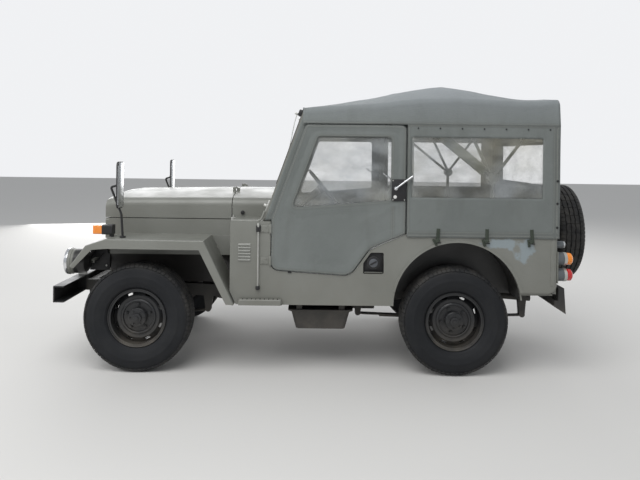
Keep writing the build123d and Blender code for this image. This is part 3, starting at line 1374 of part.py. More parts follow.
# Steering knuckles: kingpin boss, brake plate, spindle and the forward track arm
BOSS_R = 26.0
ARM_Z = HUB_Z - 16.0
for knuckle_name, side in {"knuckle_left": 1, "knuckle_right": -1}.items():
    pin_y = side * KINGPIN_Y
    with BuildPart() as knuckle:
        with Locations((FRONT_AXLE_X, pin_y, HUB_Z)):
            Cylinder(BOSS_R, 2 * (YOKE_REACH - 4))
        with Locations((FRONT_AXLE_X, pin_y, HUB_Z)):
            Cylinder(EAR_BORE_R - 0.5, 2 * (YOKE_REACH + YOKE_EAR + 6))
        with Locations((FRONT_AXLE_X, side * (KINGPIN_Y + PLATE_Y) / 2, HUB_Z)):
            Box(44, PLATE_Y - KINGPIN_Y, 120)
        with Locations(Location((FRONT_AXLE_X, side * (PLATE_Y - 4), HUB_Z), (90, 0, 0))):
            Cylinder(DRUM_R - 2, 8)
        with Locations(Location((FRONT_AXLE_X, side * (PLATE_Y + 56), HUB_Z), (90, 0, 0))):
            Cylinder(SPINDLE_R, 124)
        with Locations((FRONT_AXLE_X + ARM_REACH / 2, pin_y, ARM_Z)):
            Box(ARM_REACH, 24, 20)
        with Locations((FRONT_AXLE_X + ARM_REACH, pin_y, ARM_Z)):
            Cylinder(17, 20)
        with Locations((FRONT_AXLE_X + ARM_REACH, pin_y, ARM_Z + 26)):
            Cylinder(9, 36)
    keep(knuckle, knuckle_name)

# Track rod: a tube with an eye over each arm's pin
ROD_Z = ARM_Z + 26.0
with BuildPart() as tie_rod:
    with Locations(Location((FRONT_AXLE_X + ARM_REACH, 0, ROD_Z), (90, 0, 0))):
        Cylinder(TIE_ROD_R, 2 * KINGPIN_Y)
    for side in (1, -1):
        with Locations((FRONT_AXLE_X + ARM_REACH, side * KINGPIN_Y, ROD_Z)):
            Cylinder(20, 28)
    for side in (1, -1):
        with Locations((FRONT_AXLE_X + ARM_REACH, side * KINGPIN_Y, ROD_Z)):
            Cylinder(10, 60, mode=Mode.SUBTRACT)
keep(tie_rod, "tie_rod")

# Side steps: a tread bar below each door's front
with BuildPart() as side_steps:
    for side in (1, -1):
        with Locations((502, side * (BODY_Y + 20), 518)):
            Box(300, 40, 40)
    fillet(side_steps.edges().filter_by(Axis.Z), 14)
    fillet(side_steps.faces().sort_by(Axis.Z)[-2:].edges(), 9)
keep(side_steps, "side_steps")
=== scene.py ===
"""Looks of the army 4x4 car: canvas top, tread, lamps, fittings and finishes.

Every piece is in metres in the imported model's frame: +X forward, +Y the car's left, +Z up.
"""
from math import atan2, cos, exp, hypot, pi, radians, sin, sqrt

import bmesh
import bpy
from mathutils import Matrix, Vector, kdtree, noise


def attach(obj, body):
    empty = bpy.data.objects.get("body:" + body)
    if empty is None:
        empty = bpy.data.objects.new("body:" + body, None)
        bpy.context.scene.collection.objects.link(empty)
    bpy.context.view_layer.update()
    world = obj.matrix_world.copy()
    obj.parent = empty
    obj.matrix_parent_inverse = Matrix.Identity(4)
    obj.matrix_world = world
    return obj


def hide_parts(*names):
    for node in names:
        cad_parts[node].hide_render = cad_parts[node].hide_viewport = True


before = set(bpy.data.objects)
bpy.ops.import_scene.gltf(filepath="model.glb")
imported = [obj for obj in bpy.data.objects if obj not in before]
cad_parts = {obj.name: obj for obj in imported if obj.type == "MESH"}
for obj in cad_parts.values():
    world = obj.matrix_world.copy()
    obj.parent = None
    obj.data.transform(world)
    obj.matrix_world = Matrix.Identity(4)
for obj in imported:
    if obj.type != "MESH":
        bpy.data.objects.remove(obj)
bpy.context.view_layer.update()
bpy.ops.object.select_all(action="DESELECT")

# Camera: a small camera held level at eye height, square to the car's left side, a little
# ahead of its middle. The frame takes in more ground than sky, so the lens is shifted down.
eye_data = bpy.data.cameras.new("eye")
eye_data.sensor_width = 36.0
eye_data.lens = 33.75
eye_data.shift_y = -0.134
eye = bpy.data.objects.new("eye", eye_data)
bpy.context.scene.collection.objects.link(eye)
eye.matrix_world = (
    Matrix.Translation((0.102, 4.94, 1.54))
    @ Matrix.Rotation(pi, 4, "Z")
    @ Matrix.Rotation(pi / 2, 4, "X")
    @ Matrix.Rotation(0.0126, 4, "Z")
)
bpy.context.scene.camera = eye
bpy.context.scene.view_settings.view_transform = "Standard"

# Floor and light: a plain pale floor, and daylight as from a high thin cloud in front of
# the left side, with a broad weak fill so that the under-body keeps some shape.
def feed(tree, node, inputs):
    """Give a node's inputs, by name or number, their values or the sockets that feed them."""
    for socket, value in dict(inputs).items():
        if isinstance(value, bpy.types.NodeSocket):
            tree.links.new(value, node.inputs[socket])
        elif node.inputs[socket].type == "RGBA":
            node.inputs[socket].default_value = (*value, 1.0)
        else:
            node.inputs[socket].default_value = value


def wired(tree, kind, inputs=(), out=0, **settings):
    """Add a shader node with its settings and inputs, and give the socket that it puts out."""
    made = tree.nodes.new("ShaderNode" + kind)
    for setting, value in settings.items():
        setattr(made, setting, value)
    feed(tree, made, inputs)
    return made.outputs[out]


def new_finish(name, **inputs):
    """A new material, its node tree and its shader, whose inputs are named with underscores."""
    made = bpy.data.materials.new(name)
    made.use_nodes = True
    shader = made.node_tree.nodes["Principled BSDF"]
    feed(made.node_tree, shader, {key.replace("_", " "): value for key, value in inputs.items()})
    return made, made.node_tree, shader


def added(shape, **settings):
    """A new primitive, with nothing else selected."""
    bpy.ops.object.select_all(action="DESELECT")
    getattr(bpy.ops.mesh, f"primitive_{shape}_add")(**settings)
    return bpy.context.object


ground = added("plane", size=60.0)
ground.name = "ground"
ground_paint, _, _ = new_finish("pale_floor", Base_Color=(0.62, 0.61, 0.59), Roughness=0.9)
ground.data.materials.append(ground_paint)

sky = bpy.data.worlds.new("sky")
bpy.context.scene.world = sky
sky.use_nodes = True
sky_tree = sky.node_tree
sky_light = sky_tree.nodes["Background"]
feed(sky_tree, sky_light, {"Color": (0.93, 0.96, 1.0), "Strength": 0.55})
sky_back = wired(sky_tree, "Background", {"Color": (0.97, 0.98, 1.0), "Strength": 0.9})
seen = wired(sky_tree, "LightPath", out="Is Camera Ray")
sky_both = wired(sky_tree, "MixShader", {0: seen, 1: sky_light.outputs[0], 2: sky_back})
feed(sky_tree, sky_tree.nodes["World Output"], {"Surface": sky_both})

lamp_table = [
    # name, place, size, power
    ("high_key", (1.5, 4.5, 6.5), 5.0, 330.0),
    ("front_fill", (7.0, 3.0, 3.5), 4.0, 110.0),
    ("rear_fill", (-7.0, -2.0, 4.0), 4.0, 90.0),
    ("far_glow", (2.0, -7.5, 3.4), 8.0, 470.0),
]
for lamp_name, lamp_place, lamp_size, lamp_power in lamp_table:
    lamp_data = bpy.data.lights.new(lamp_name, "AREA")
    lamp_data.size = lamp_size
    lamp_data.energy = lamp_power
    lamp = bpy.data.objects.new(lamp_name, lamp_data)
    lamp.location = lamp_place
    lamp_aim = Vector((0.0, 0.0, 0.7)) - Vector(lamp_place)
    lamp.rotation_euler = lamp_aim.to_track_quat("-Z", "Y").to_euler()
    bpy.context.scene.collection.objects.link(lamp)
    lamp.visible_camera = False

# Chassis: welded box frame, live axles, leaf packs and running gear, brushed with black
# chassis paint and browned with road dust from below.
def on_object(tree):
    """Place on the piece, in metres."""
    return wired(tree, "TexCoord", out="Object")


def axis(tree, vector, name):
    """One of a vector's three parts."""
    return wired(tree, "SeparateXYZ", {"Vector": vector}, name)


def maths(tree, operation, *values):
    """Result of a sum on values and sockets."""
    return wired(tree, "Math", enumerate(values), operation=operation)


def vectors(tree, operation, *values):
    """Result of a sum on vectors: a vector, or a number for a length or a dot product."""
    out = "Value" if operation in ("LENGTH", "DOT_PRODUCT") else "Vector"
    return wired(tree, "VectorMath", enumerate(values), out, operation=operation)


def ranged(tree, value, low, high, to_low=0.0, to_high=1.0):
    """The value from low to high, made to run from to_low to to_high and no further."""
    return wired(tree, "MapRange", {
        "Value": value, "From Min": low, "From Max": high, "To Min": to_low, "To Max": to_high,
    }, "Result")


def patches(tree, scale, detail, low, high, stretch=(1.0, 1.0, 1.0)):
    """A 0 to 1 mask of noise patches."""
    place = wired(tree, "Mapping", {"Vector": on_object(tree), "Scale": stretch})
    spots = wired(tree, "TexNoise", {"Vector": place, "Scale": scale, "Detail": detail}, "Fac")
    return ranged(tree, spots, low, high)


def blended(tree, mask, under, over):
    """Colour that turns from under to over where the mask is 1; each is a colour or a socket."""
    return wired(tree, "Mix", {0: mask, 6: under, 7: over}, 2, data_type="RGBA")


def waves(tree, direction, scale, **inputs):
    """Even bands across a direction."""
    return wired(
        tree, "TexWave",
        {"Vector": on_object(tree), "Scale": scale, "Distortion": 0.0, **inputs}, "Fac",
        wave_type="BANDS", bands_direction=direction,
    )


def raised(tree, shader, height, depth):
    """Raise the shader's surface by a height, of which 1 is so many metres of depth."""
    bump = wired(tree, "Bump", {"Height": height, "Strength": 1.0, "Distance": depth})
    feed(tree, shader, {"Normal": bump})


def painted(name, colour, faded, dust, rough, dust_top=0.62, grain=(260.0, 0.0004)):
    """Brushed military paint: two close shades in patches, road dust low down, fine grain."""
    made, tree, shader = new_finish(name)
    shade = blended(tree, patches(tree, 2.6, 6.0, 0.32, 0.70), colour, faded)
    low_down = ranged(tree, axis(tree, on_object(tree), "Z"), dust_top, 0.0)
    dusty = maths(tree, "MULTIPLY", low_down, patches(tree, 9.0, 5.0, 0.25, 0.75))
    wear = patches(tree, 7.0, 4.0, 0.3, 0.7)
    feed(tree, shader, {
        "Base Color": blended(tree, dusty, shade, dust),
        "Roughness": ranged(tree, wear, 0.0, 1.0, rough - 0.08, rough + 0.1),
    })
    grain_scale, grain_depth = grain
    raised(tree, shader, patches(tree, grain_scale, 3.0, 0.2, 0.8), grain_depth)
    return made


def finish_nodes(material, *names):
    """Give carried-over nodes their finish."""
    for name in names:
        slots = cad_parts[name].data.materials
        slots.clear()
        slots.append(material)


ROAD_DUST = (0.165, 0.145, 0.118)
chassis_black = painted(
    "chassis_black", (0.018, 0.018, 0.018), (0.035, 0.034, 0.032), ROAD_DUST, 0.62
)
finish_nodes(
    chassis_black, "frame", "front_axle", "rear_axle", "leaf_springs", "dampers", "propshafts",
    "exhaust", "fuel_tank", "knuckle_left", "knuckle_right", "tie_rod", "rear_bumperettes",
    "tow_pintle", "steering_column", "radiator",
)
cast_metal = painted("cast_metal", (0.10, 0.10, 0.10), (0.16, 0.15, 0.14), ROAD_DUST, 0.6)
finish_nodes(cast_metal, "engine_block", "gearbox")

# Tyres: five 15 inch light truck tyres, moulded rubber. The casing is one turned section, with
# five zigzag ribs around it, the outer ones cut by narrow slots and rolled over the shoulder.
def modified(kind, **settings):
    """Add a modifier to the active piece and apply it."""
    made = bpy.context.object.modifiers.new(kind.lower(), kind)
    for setting, value in settings.items():
        setattr(made, setting, value)
    bpy.ops.object.modifier_apply(modifier=made.name)


def hung(piece, name, finish, body="chassis"):
    """Name a piece, give it the material of its finish, and hang it on a body."""
    material, slot = finish
    piece.name = name
    piece.data.name = name
    piece.data.materials.clear()
    piece.data.materials.append(material)
    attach(piece, body)
    return piece


def settled(name, finish, body="chassis"):
    """Finish the active piece, with its place put in its mesh."""
    bpy.ops.object.transform_apply(location=True, rotation=True, scale=True)
    return hung(bpy.context.object, name, finish, body)


def duplicate(piece, turn):
    """Another of the same piece, with its own mesh moved or turned by a matrix."""
    twin = piece.copy()
    twin.data = piece.data.copy()
    bpy.context.scene.collection.objects.link(twin)
    twin.parent = None
    twin.data.transform(turn)
    if turn.determinant() < 0:
        twin.data.flip_normals()
    return twin


def joined(pieces):
    """Join pieces into the first one and leave it active."""
    bpy.ops.object.select_all(action="DESELECT")
    for piece in pieces:
        piece.select_set(True)
    bpy.context.view_layer.objects.active = pieces[0]
    bpy.ops.object.join()
    return bpy.context.object


def turned(name, line, steps=72, closed=True):
    """A piece turned about Y from a section line of (along the axle, radius) points."""
    added("plane", size=0.01)
    bpy.ops.object.mode_set(mode="EDIT")
    mesh = bmesh.from_edit_mesh(bpy.context.object.data)
    bmesh.ops.delete(mesh, geom=list(mesh.verts), context="VERTS")
    points = [mesh.verts.new((0.0, along, radius)) for along, radius in line]
    for first, second in zip(points, points[1:] + (points[:1] if closed else [])):
        mesh.edges.new((first, second))
    bmesh.update_edit_mesh(bpy.context.object.data)
    bpy.ops.mesh.select_all(action="SELECT")
    bpy.ops.mesh.spin(steps=steps, angle=2 * pi, center=(0, 0, 0), axis=(0, 1, 0))
    bpy.ops.mesh.select_all(action="SELECT")
    bpy.ops.mesh.remove_doubles(threshold=0.00005)
    bpy.ops.mesh.normals_make_consistent(inside=False)
    bpy.ops.object.mode_set(mode="OBJECT")
    bpy.ops.object.shade_smooth_by_angle(angle=radians(32))
    bpy.context.object.name = name
    return bpy.context.object


casing_line = [
    (0.065, 0.1903), (0.0692, 0.2072), (0.078, 0.2105), (0.083, 0.2165), (0.0905, 0.222),
    (0.0925, 0.2285), (0.1, 0.242), (0.1045, 0.262), (0.1062, 0.285), (0.1072, 0.289),
    (0.1071, 0.296), (0.1052, 0.3), (0.1034, 0.318), (0.099, 0.338), (0.0915, 0.354),
    (0.082, 0.3615), (0.07, 0.3645), (0.035, 0.3665), (0.0, 0.367),
]
casing_line += [(-along, radius) for along, radius in reversed(casing_line[:-1])]
casing = turned("casing", casing_line, steps=96)

tread_line = [
    # along the axle, radius of the tread's face
    (0.0, 0.3777), (0.03, 0.3774), (0.056, 0.3765), (0.074, 0.3748), (0.084, 0.3712),
    (0.092, 0.3650), (0.0985, 0.3555),
]
rib_table = [
    # inner edge, outer edge, swing of the zigzag, blocks around, cut between blocks
    (-0.0135, 0.0135, 0.0045, 36, 0.03),
    (0.0205, 0.0500, 0.0045, 36, 0.03),
    (0.0570, 0.0968, 0.0020, 72, 0.07),
]
ribs = []
for low_y, high_y, swing, around, cut in rib_table:
    rib = added("grid", x_subdivisions=4, y_subdivisions=5, size=1.0)
    for point in rib.data.vertices:
        share, along = point.co.x + 0.5, point.co.y + 0.5
        turn = (share - 0.5) * (2 * pi / around) * (1 - cut)
        out_y = low_y + (high_y - low_y) * along + swing * (0.5 - abs(2 * share - 1))
        for (y0, r0), (y1, r1) in zip(tread_line, tread_line[1:]):
            if abs(out_y) <= y1 or (y1, r1) == tread_line[-1]:
                radius = r0 + (r1 - r0) * (abs(out_y) - y0) / (y1 - y0)
                break
        point.co = (radius * sin(turn), out_y, radius * cos(turn))
    modified("SOLIDIFY", thickness=0.010, offset=-1.0)
    modified("BEVEL", width=0.0012, segments=1, limit_method="ANGLE", angle_limit=radians(50))
    bpy.ops.object.mode_set(mode="EDIT")
    bpy.ops.mesh.select_all(action="SELECT")
    bpy.ops.mesh.spin(
        steps=around - 1, dupli=True, angle=2 * pi * (around - 1) / around,
        center=(0, 0, 0), axis=(0, 1, 0),
    )
    bpy.ops.object.mode_set(mode="OBJECT")
    ribs.append(rib)
    if low_y > 0:
        ribs.append(duplicate(ribs[-1], Matrix.Rotation(pi, 4, "Z")))
tyre_model = joined([casing, *ribs])


def tyre_rubber(name, centre, across):
    """Black rubber: dusty tread, blacker walls, with faint turned rings about the axle."""
    made, tree, shader = new_finish(name, Roughness=0.70, Specular_IOR_Level=0.30)
    middle = [-value for value in centre]
    place = wired(tree, "Mapping", {"Vector": on_object(tree), "Location": middle})
    reach = vectors(tree, "LENGTH", vectors(tree, "MULTIPLY", place, across))
    tread = ranged(tree, reach, 0.34, 0.372)
    dusted = maths(tree, "MULTIPLY", tread, patches(tree, 14.0, 6.0, 0.30, 0.80))
    mottle = patches(tree, 6.0, 6.0, 0.35, 0.75)
    wall = blended(tree, mottle, (0.0095, 0.0105, 0.0125), (0.017, 0.0178, 0.0195))
    feed(tree, shader, {"Base Color": blended(tree, dusted, wall, (0.06, 0.056, 0.05))})
    rings = maths(tree, "SINE", maths(tree, "MULTIPLY", reach, 900.0))
    pores = patches(tree, 300.0, 3.0, 0.2, 0.8)
    raised(tree, shader, maths(tree, "MULTIPLY_ADD", rings, 0.25, pores), 0.0006)
    return made


wheel_table = []
for wheel_name, wheel_centre, wheel_turn, wheel_axis in (
    ("front_left", (1.37, 0.665, 0.378), 0.0, "Z"),
    ("front_right", (1.37, -0.665, 0.378), pi, "Z"),
    ("rear_left", (-0.855, 0.665, 0.378), 0.4, "Y"),
    ("rear_right", (-0.855, -0.665, 0.378), pi, "Z"),
    ("spare", (-1.8355, 0.0, 0.937), pi / 2, "Z"),
):
    wheel_place = Matrix.Translation(wheel_centre) @ Matrix.Rotation(wheel_turn, 4, wheel_axis)
    wheel_body = "tailgate" if wheel_name == "spare" else f"wheel_{wheel_name}"
    wheel_table.append((wheel_name, wheel_place, wheel_body))
    across = (0.0, 1.0, 1.0) if wheel_name == "spare" else (1.0, 0.0, 1.0)
    rubber = tyre_rubber(f"rubber_{wheel_name}", wheel_centre, across)
    tyre = hung(
        duplicate(tyre_model, wheel_place), f"tread_{wheel_name}", (rubber, "tyre"), wheel_body
    )
    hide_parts(f"tyre_{wheel_name}")
bpy.data.objects.remove(tyre_model)

# Wheels: pressed steel, painted gloss black. Each has five studs with their cone nuts, a
# valve, a turned bead line at the rim's edge, and on the road wheels a bolted hub flange.
wheel_black = painted(
    "wheel_black", (0.010, 0.0105, 0.0115), (0.019, 0.0195, 0.021), ROAD_DUST, 0.36, 0.40,
    (40.0, 0.0006),
)
finish_nodes(
    wheel_black, "rim_front_left", "rim_front_right", "rim_rear_left", "rim_rear_right", "rim_spare"
)


def round_part(place, radius, height, edge, vertices=32, lean=0.0):
    """A round or many-sided part with softened rims, standing along Y from place."""
    made = added(
        "cylinder", vertices=vertices, radius=radius, depth=height, rotation=(pi / 2, lean, 0),
        location=(place[0], place[1] + height / 2, place[2]),
    )
    modified("BEVEL", width=edge, segments=2, limit_method="ANGLE", angle_limit=0.6)
    return made


def hex_nut(place, radius, height, lean):
    """A bevelled six-sided nut, turned by lean."""
    return round_part(place, radius, height, radius * 0.16, 6, lean)


wheel_steel = []
for stud in range(5):
    angle = 2 * pi * stud / 5 + 0.3
    stud_x, stud_z = 0.086 * cos(angle), 0.086 * sin(angle)
    wheel_steel.append(hex_nut((stud_x, 0.034, stud_z), 0.0125, 0.016, angle))
    wheel_steel.append(round_part((stud_x, 0.05, stud_z), 0.0062, 0.008, 0.0015, 12))
wheel_steel.append(round_part((0.158, 0.012, 0.062), 0.004, 0.034, 0.001, 12))
hub_parts = [round_part((0, 0.064, 0), 0.0615, 0.011, 0.002, 48)]
for bolt in range(6):
    angle = 2 * pi * bolt / 6
    bolt_place = (0.0505 * cos(angle), 0.075, 0.0505 * sin(angle))
    hub_parts.append(hex_nut(bolt_place, 0.007, 0.007, angle))
hub_parts.append(round_part((0, 0.0745, 0), 0.034, 0.016, 0.005, 40))
hub_parts.append(round_part((0, 0.09, 0), 0.017, 0.008, 0.003, 24))
wheel_nuts, hub_cover = joined(wheel_steel), joined(hub_parts)
for model in (wheel_nuts, hub_cover):
    bpy.ops.object.select_all(action="DESELECT")
    model.select_set(True)
    bpy.context.view_layer.objects.active = model
    bpy.ops.object.transform_apply(location=True, rotation=True, scale=True)
    bpy.ops.object.shade_smooth_by_angle(angle=radians(35))
disc_ring = turned("disc_ring", [
    (0.0345, 0.1255), (0.041, 0.1235), (0.0455, 0.118), (0.0465, 0.112), (0.0440, 0.106),
    (0.0345, 0.1035),
])
bead_line = turned("bead_line", [
    (0.0757, 0.2045), (0.0785, 0.206), (0.0812, 0.2035), (0.0806, 0.199), (0.0772, 0.1965),
    (0.0757, 0.198),
], 80)
wheel_parts = {
    "disc_ring": disc_ring, "wheel_nuts": wheel_nuts, "bead_line": bead_line,
    "hub_cover": hub_cover,
}
for wheel_name, wheel_place, wheel_body in wheel_table:
    for part_name, model in wheel_parts.items():
        if (part_name, wheel_name) != ("hub_cover", "spare"):
            part = duplicate(model, wheel_place)
            hung(part, f"{part_name}_{wheel_name}", (wheel_black, "wheel_black"), wheel_body)
for model in wheel_parts.values():
    bpy.data.objects.remove(model)

# Body paint: matt olive grey brushed over older coats. It is chalked in patches, dusty along
# the sills, scuffed to primer on raised edges, and a pale blue-grey undercoat shows through a
# worn patch on each rear quarter.
def army_paint(name, shade_underneath=False):
    """The body's paint; on the wings and floor it also puts painted shade, near black, on what faces the
    wheels and the road.
    """
    made = painted(
        name, (0.168, 0.170, 0.150), (0.205, 0.208, 0.188), (0.165, 0.155, 0.130), 0.36, 0.80,
        (55.0, 0.0005),
    )
    tree = made.node_tree
    colour_in = tree.nodes["Principled BSDF"].inputs["Base Color"]
    shade = colour_in.links[0].from_socket
    place = on_object(tree)
    # Worn patch on the rear quarter: a strip under the hem that widens towards the rear
    reaches = []
    for patch_x, patch_z, reach_x, reach_z in (
        (-1.20, 0.935, 0.14, 0.032), (-1.335, 0.885, 0.060, 0.080)
    ):
        reaches.append(vectors(tree, "LENGTH", wired(tree, "Mapping", {
            "Vector": place, "Location": (-patch_x / reach_x, 0.0, -patch_z / reach_z),
            "Scale": (1 / reach_x, 0.0, 1 / reach_z),
        })))
    nearest = maths(tree, "MINIMUM", *reaches)
    ragged = maths(tree, "MULTIPLY_ADD", patches(tree, 13.0, 6.0, 0.3, 0.7), 1.2, nearest)
    shade = blended(tree, ranged(tree, ragged, 1.75, 1.40, 0.0, 0.75), shade, (0.26, 0.31, 0.335))
    # Edge wear, from the angle between the true and the rounded normal
    rounded = wired(tree, "Bevel", {"Radius": 0.006}, samples=4)
    flat = wired(tree, "NewGeometry", out="Normal")
    edge = ranged(tree, vectors(tree, "DOT_PRODUCT", rounded, flat), 0.985, 0.90, 0.0, 0.55)
    chipped = maths(tree, "MULTIPLY", edge, patches(tree, 24.0, 5.0, 0.45, 0.62))
    shade = blended(tree, chipped, shade, (0.30, 0.30, 0.275))
    # Painted shade, with some road dirt: faces turned down and the inside of the rear wheel houses go
    # near black, as the shadow under the body
    if shade_underneath:
        inward = ranged(tree, axis(tree, flat, "Z"), -0.15, -0.45)
        # Inside of the rear wheel houses, in painted shade: everything within the arch, seen from the
        # wheel
        from_arch = vectors(tree, "SUBTRACT", place, (-0.862, 0.0, 0.496))
        arch_reach = vectors(tree, "LENGTH", vectors(tree, "MULTIPLY", from_arch, (1.0, 0.0, 1.0)))
        housed = ranged(tree, arch_reach, 0.4456, 0.4446)
        breadth = maths(tree, "ABSOLUTE", axis(tree, place, "Y"))
        arch_shade = maths(tree, "MULTIPLY", housed, maths(tree, "GREATER_THAN", breadth, 0.50))
        painted_shade = maths(tree, "MAXIMUM", inward, arch_shade)
        shade = blended(tree, painted_shade, shade, (0.018, 0.017, 0.016))
    tree.links.new(shade, colour_in)
    return made


def toned(made, full_x, none_x, tone):
    """Blend a paint's colour to a tone along X: wholly at full_x, not at all at none_x."""
    tree = made.node_tree
    span = ranged(tree, axis(tree, on_object(tree), "X"), none_x, full_x)
    colour_in = tree.nodes["Principled BSDF"].inputs["Base Color"]
    tree.links.new(blended(tree, span, colour_in.links[0].from_socket, tone), colour_in)
    return made


body_paint = army_paint("body_paint")
# The wings and floor also carry painted shade, near black, underneath and inside the rear wheel houses
wing_paint_shaded = army_paint("wing_paint_shaded", shade_underneath=True)
finish_nodes(
    body_paint, "side_left", "side_right", "tail_panel", "cowl", "grille", "bonnet",
    "windscreen_frame", "tailgate", "side_steps", "seat_frames",
)
finish_nodes(wing_paint_shaded, "wing_left", "wing_right", "floor")

# Headlamps: the bowls are painted with the body, and behind their rims they are blackened as painted
# shade
lamp_paint_shaded = toned(army_paint("lamp_paint_shaded"), 1.842, 1.856, (0.014, 0.014, 0.013))
finish_nodes(lamp_paint_shaded, "headlamp_buckets")
bow_green = painted("bow_green", (0.030, 0.034, 0.026), (0.045, 0.048, 0.038), ROAD_DUST, 0.55)
finish_nodes(bow_green, "canopy_bows")

# Small ironwork on the body, made of rods, plates and turned parts in black paint, zinc plate
# or chrome, and the rubber and webbing that goes with it.
outward, up, ahead, aft = (0, 1, 0), (0, 0, 1), (1, 0, 0), (-1, 0, 0)
sides_table = (("left", 1), ("right", -1))


def rod(name, path, radius, finish, body="chassis"):
    """A bent rod through the points of a path."""
    bpy.ops.object.select_all(action="DESELECT")
    bpy.ops.curve.primitive_nurbs_path_add()
    curve = bpy.context.object.data
    curve.splines.clear()
    line = curve.splines.new("POLY")
    line.points.add(len(path) - 1)
    for point, place in zip(line.points, path):
        point.co = (*place, 1.0)
    curve.bevel_depth = radius
    curve.bevel_resolution = 2
    curve.use_fill_caps = True
    bpy.ops.object.convert(target="MESH")
    bpy.ops.object.shade_smooth_by_angle(angle=radians(45))
    return settled(name, finish, body)


def plate(name, place, size, edge, finish, body="chassis", turn=(0.0, 0.0, 0.0)):
    """A flat plate or block with rounded edges."""
    added("cube", size=1.0, location=place, rotation=turn).scale = size
    bpy.ops.object.transform_apply(location=False, rotation=False, scale=True)
    modified("BEVEL", width=edge, segments=2, limit_method="ANGLE", angle_limit=0.6)
    bpy.ops.object.shade_smooth_by_angle(angle=radians(35))
    return settled(name, finish, body)


def boss(name, place, radius, height, finish, body="chassis", axle=outward, edge=0.0015, sides=28):
    """A short round part from place along an axle, with softened rims."""
    made = round_part((0.0, 0.0, 0.0), radius, height, edge, sides)
    bpy.ops.object.transform_apply(location=True, rotation=True, scale=True)
    turn = Vector((0, 1, 0)).rotation_difference(Vector(axle)).to_matrix().to_4x4()
    made.data.transform(Matrix.Translation(place) @ turn)
    bpy.ops.object.shade_smooth_by_angle(angle=radians(35))
    return settled(name, finish, body)


def both(make, name, place, *rest, body="chassis", **more):
    """Make a piece on each side, from the left one's place or path; {} stands for the hand."""
    for hand, side in sides_table:
        if isinstance(place, list):
            spot = [(x, side * y, z) for x, y, z in place]
        else:
            spot = (place[0], side * place[1], place[2])
        if make is boss:
            x, y, z = more.get("axle", outward)
            more["axle"] = (x, side * abs(y), z)
        make(name.format(hand), spot, *rest, body=body.format(hand), **more)


def plain(name, colour, rough, metal=0.0):
    """One even finish with a little wear in its roughness."""
    made, tree, shader = new_finish(name, Metallic=metal)
    worn = tuple(value * 0.8 for value in colour)
    feed(tree, shader, {
        "Base Color": blended(tree, patches(tree, 22.0, 4.0, 0.3, 0.75), colour, worn),
        "Roughness": ranged(
            tree, patches(tree, 40.0, 4.0, 0.3, 0.7), 0.0, 1.0, rough, rough + 0.15
        ),
    })
    return made


bright = (plain("bright_plate", (0.72, 0.73, 0.74), 0.16, 1.0), "bare_steel")
zinc = (plain("zinc_plate", (0.56, 0.56, 0.53), 0.38, 0.85), "bare_steel")
black_part = plain("black_part", (0.014, 0.014, 0.015), 0.42)
black = (black_part, "bumper_black")
white_part = plain("white_part", (0.75, 0.75, 0.72), 0.35)
rubber_part = plain("rubber_part", (0.018, 0.018, 0.018), 0.75)
dull = (plain("dull_steel", (0.120, 0.128, 0.140), 0.45, 0.4), "bare_steel")
webbing = (plain("webbing", (0.045, 0.055, 0.042), 0.9), "canvas")
green = (body_paint, "body_paint")
bumper_black = painted(
    "bumper_black", (0.010, 0.010, 0.011), (0.020, 0.020, 0.020), ROAD_DUST, 0.42, 0.30,
    (30.0, 0.0004),
)
finish_nodes(bumper_black, "front_bumper", "mirrors")
housing_paint = painted(
    "housing_paint", (0.011, 0.011, 0.012), (0.020, 0.020, 0.020), ROAD_DUST, 0.42, 0.30
)
finish_nodes(toned(housing_paint, -1.0, 1.0, (0.095, 0.105, 0.112)), "signal_housings")
finish_nodes(zinc[0], "towing_eyes")

# Door locks and hinges: a lock plate with its lever standing up behind the door's edge, a
# button and a lever inside, two pin hinges in body paint, and a sprung latch on the sill.
on_door = {"body": "door_{}"}
both(plate, "lock_plate_{}", (-0.444, 0.8035, 1.2985), (0.098, 0.007, 0.151), 0.003, black, **on_door)
both(boss, "lock_pivot_{}", (-0.424, 0.806, 1.311), 0.013, 0.010, bright, **on_door)
lever = [(-0.420, 0.815, 1.308), (-0.470, 0.819, 1.347), (-0.538, 0.820, 1.397)]
both(rod, "lock_lever_{}", lever, 0.0065, bright, **on_door)
both(boss, "lock_button_{}", (-0.419, 0.806, 1.252), 0.012, 0.006, (white_part, "bare_steel"),
     **on_door)
for x in (-0.484, -0.404):
    for z in (1.232, 1.365):
        both(boss, f"lock_screw_{{}}_{x:.3f}_{z:.3f}", (x, 0.8062, z), 0.0045, 0.0025, zinc,
             edge=0.0008, sides=12, **on_door)
lever = [(-0.338, 0.768, 1.413), (-0.372, 0.766, 1.388), (-0.404, 0.770, 1.366)]
both(rod, "inside_lever_{}", lever, 0.005, bright, **on_door)
both(plate, "inside_lock_{}", (-0.425, 0.7715, 1.34), (0.07, 0.008, 0.09), 0.002, black, **on_door)
for z in (0.80, 1.02):
    both(boss, f"hinge_barrel_{{}}_{z:.2f}", (0.437, 0.799, z - 0.031), 0.0078, 0.062, green,
         axle=up, **on_door)
    both(plate, f"hinge_leaf_{{}}_{z:.2f}", (0.474, 0.7925, z), (0.062, 0.005, 0.052), 0.0015, green)
    for bolt in range(2):
        place = (0.468 + 0.022 * bolt, 0.795, z + 0.013 - 0.026 * bolt)
        both(boss, f"hinge_bolt_{{}}_{z:.2f}_{bolt}", place, 0.0055, 0.004, green, edge=0.001,
             sides=6)
both(plate, "sill_latch_{}", (0.302, 0.7935, 0.722), (0.026, 0.010, 0.011), 0.003, black)

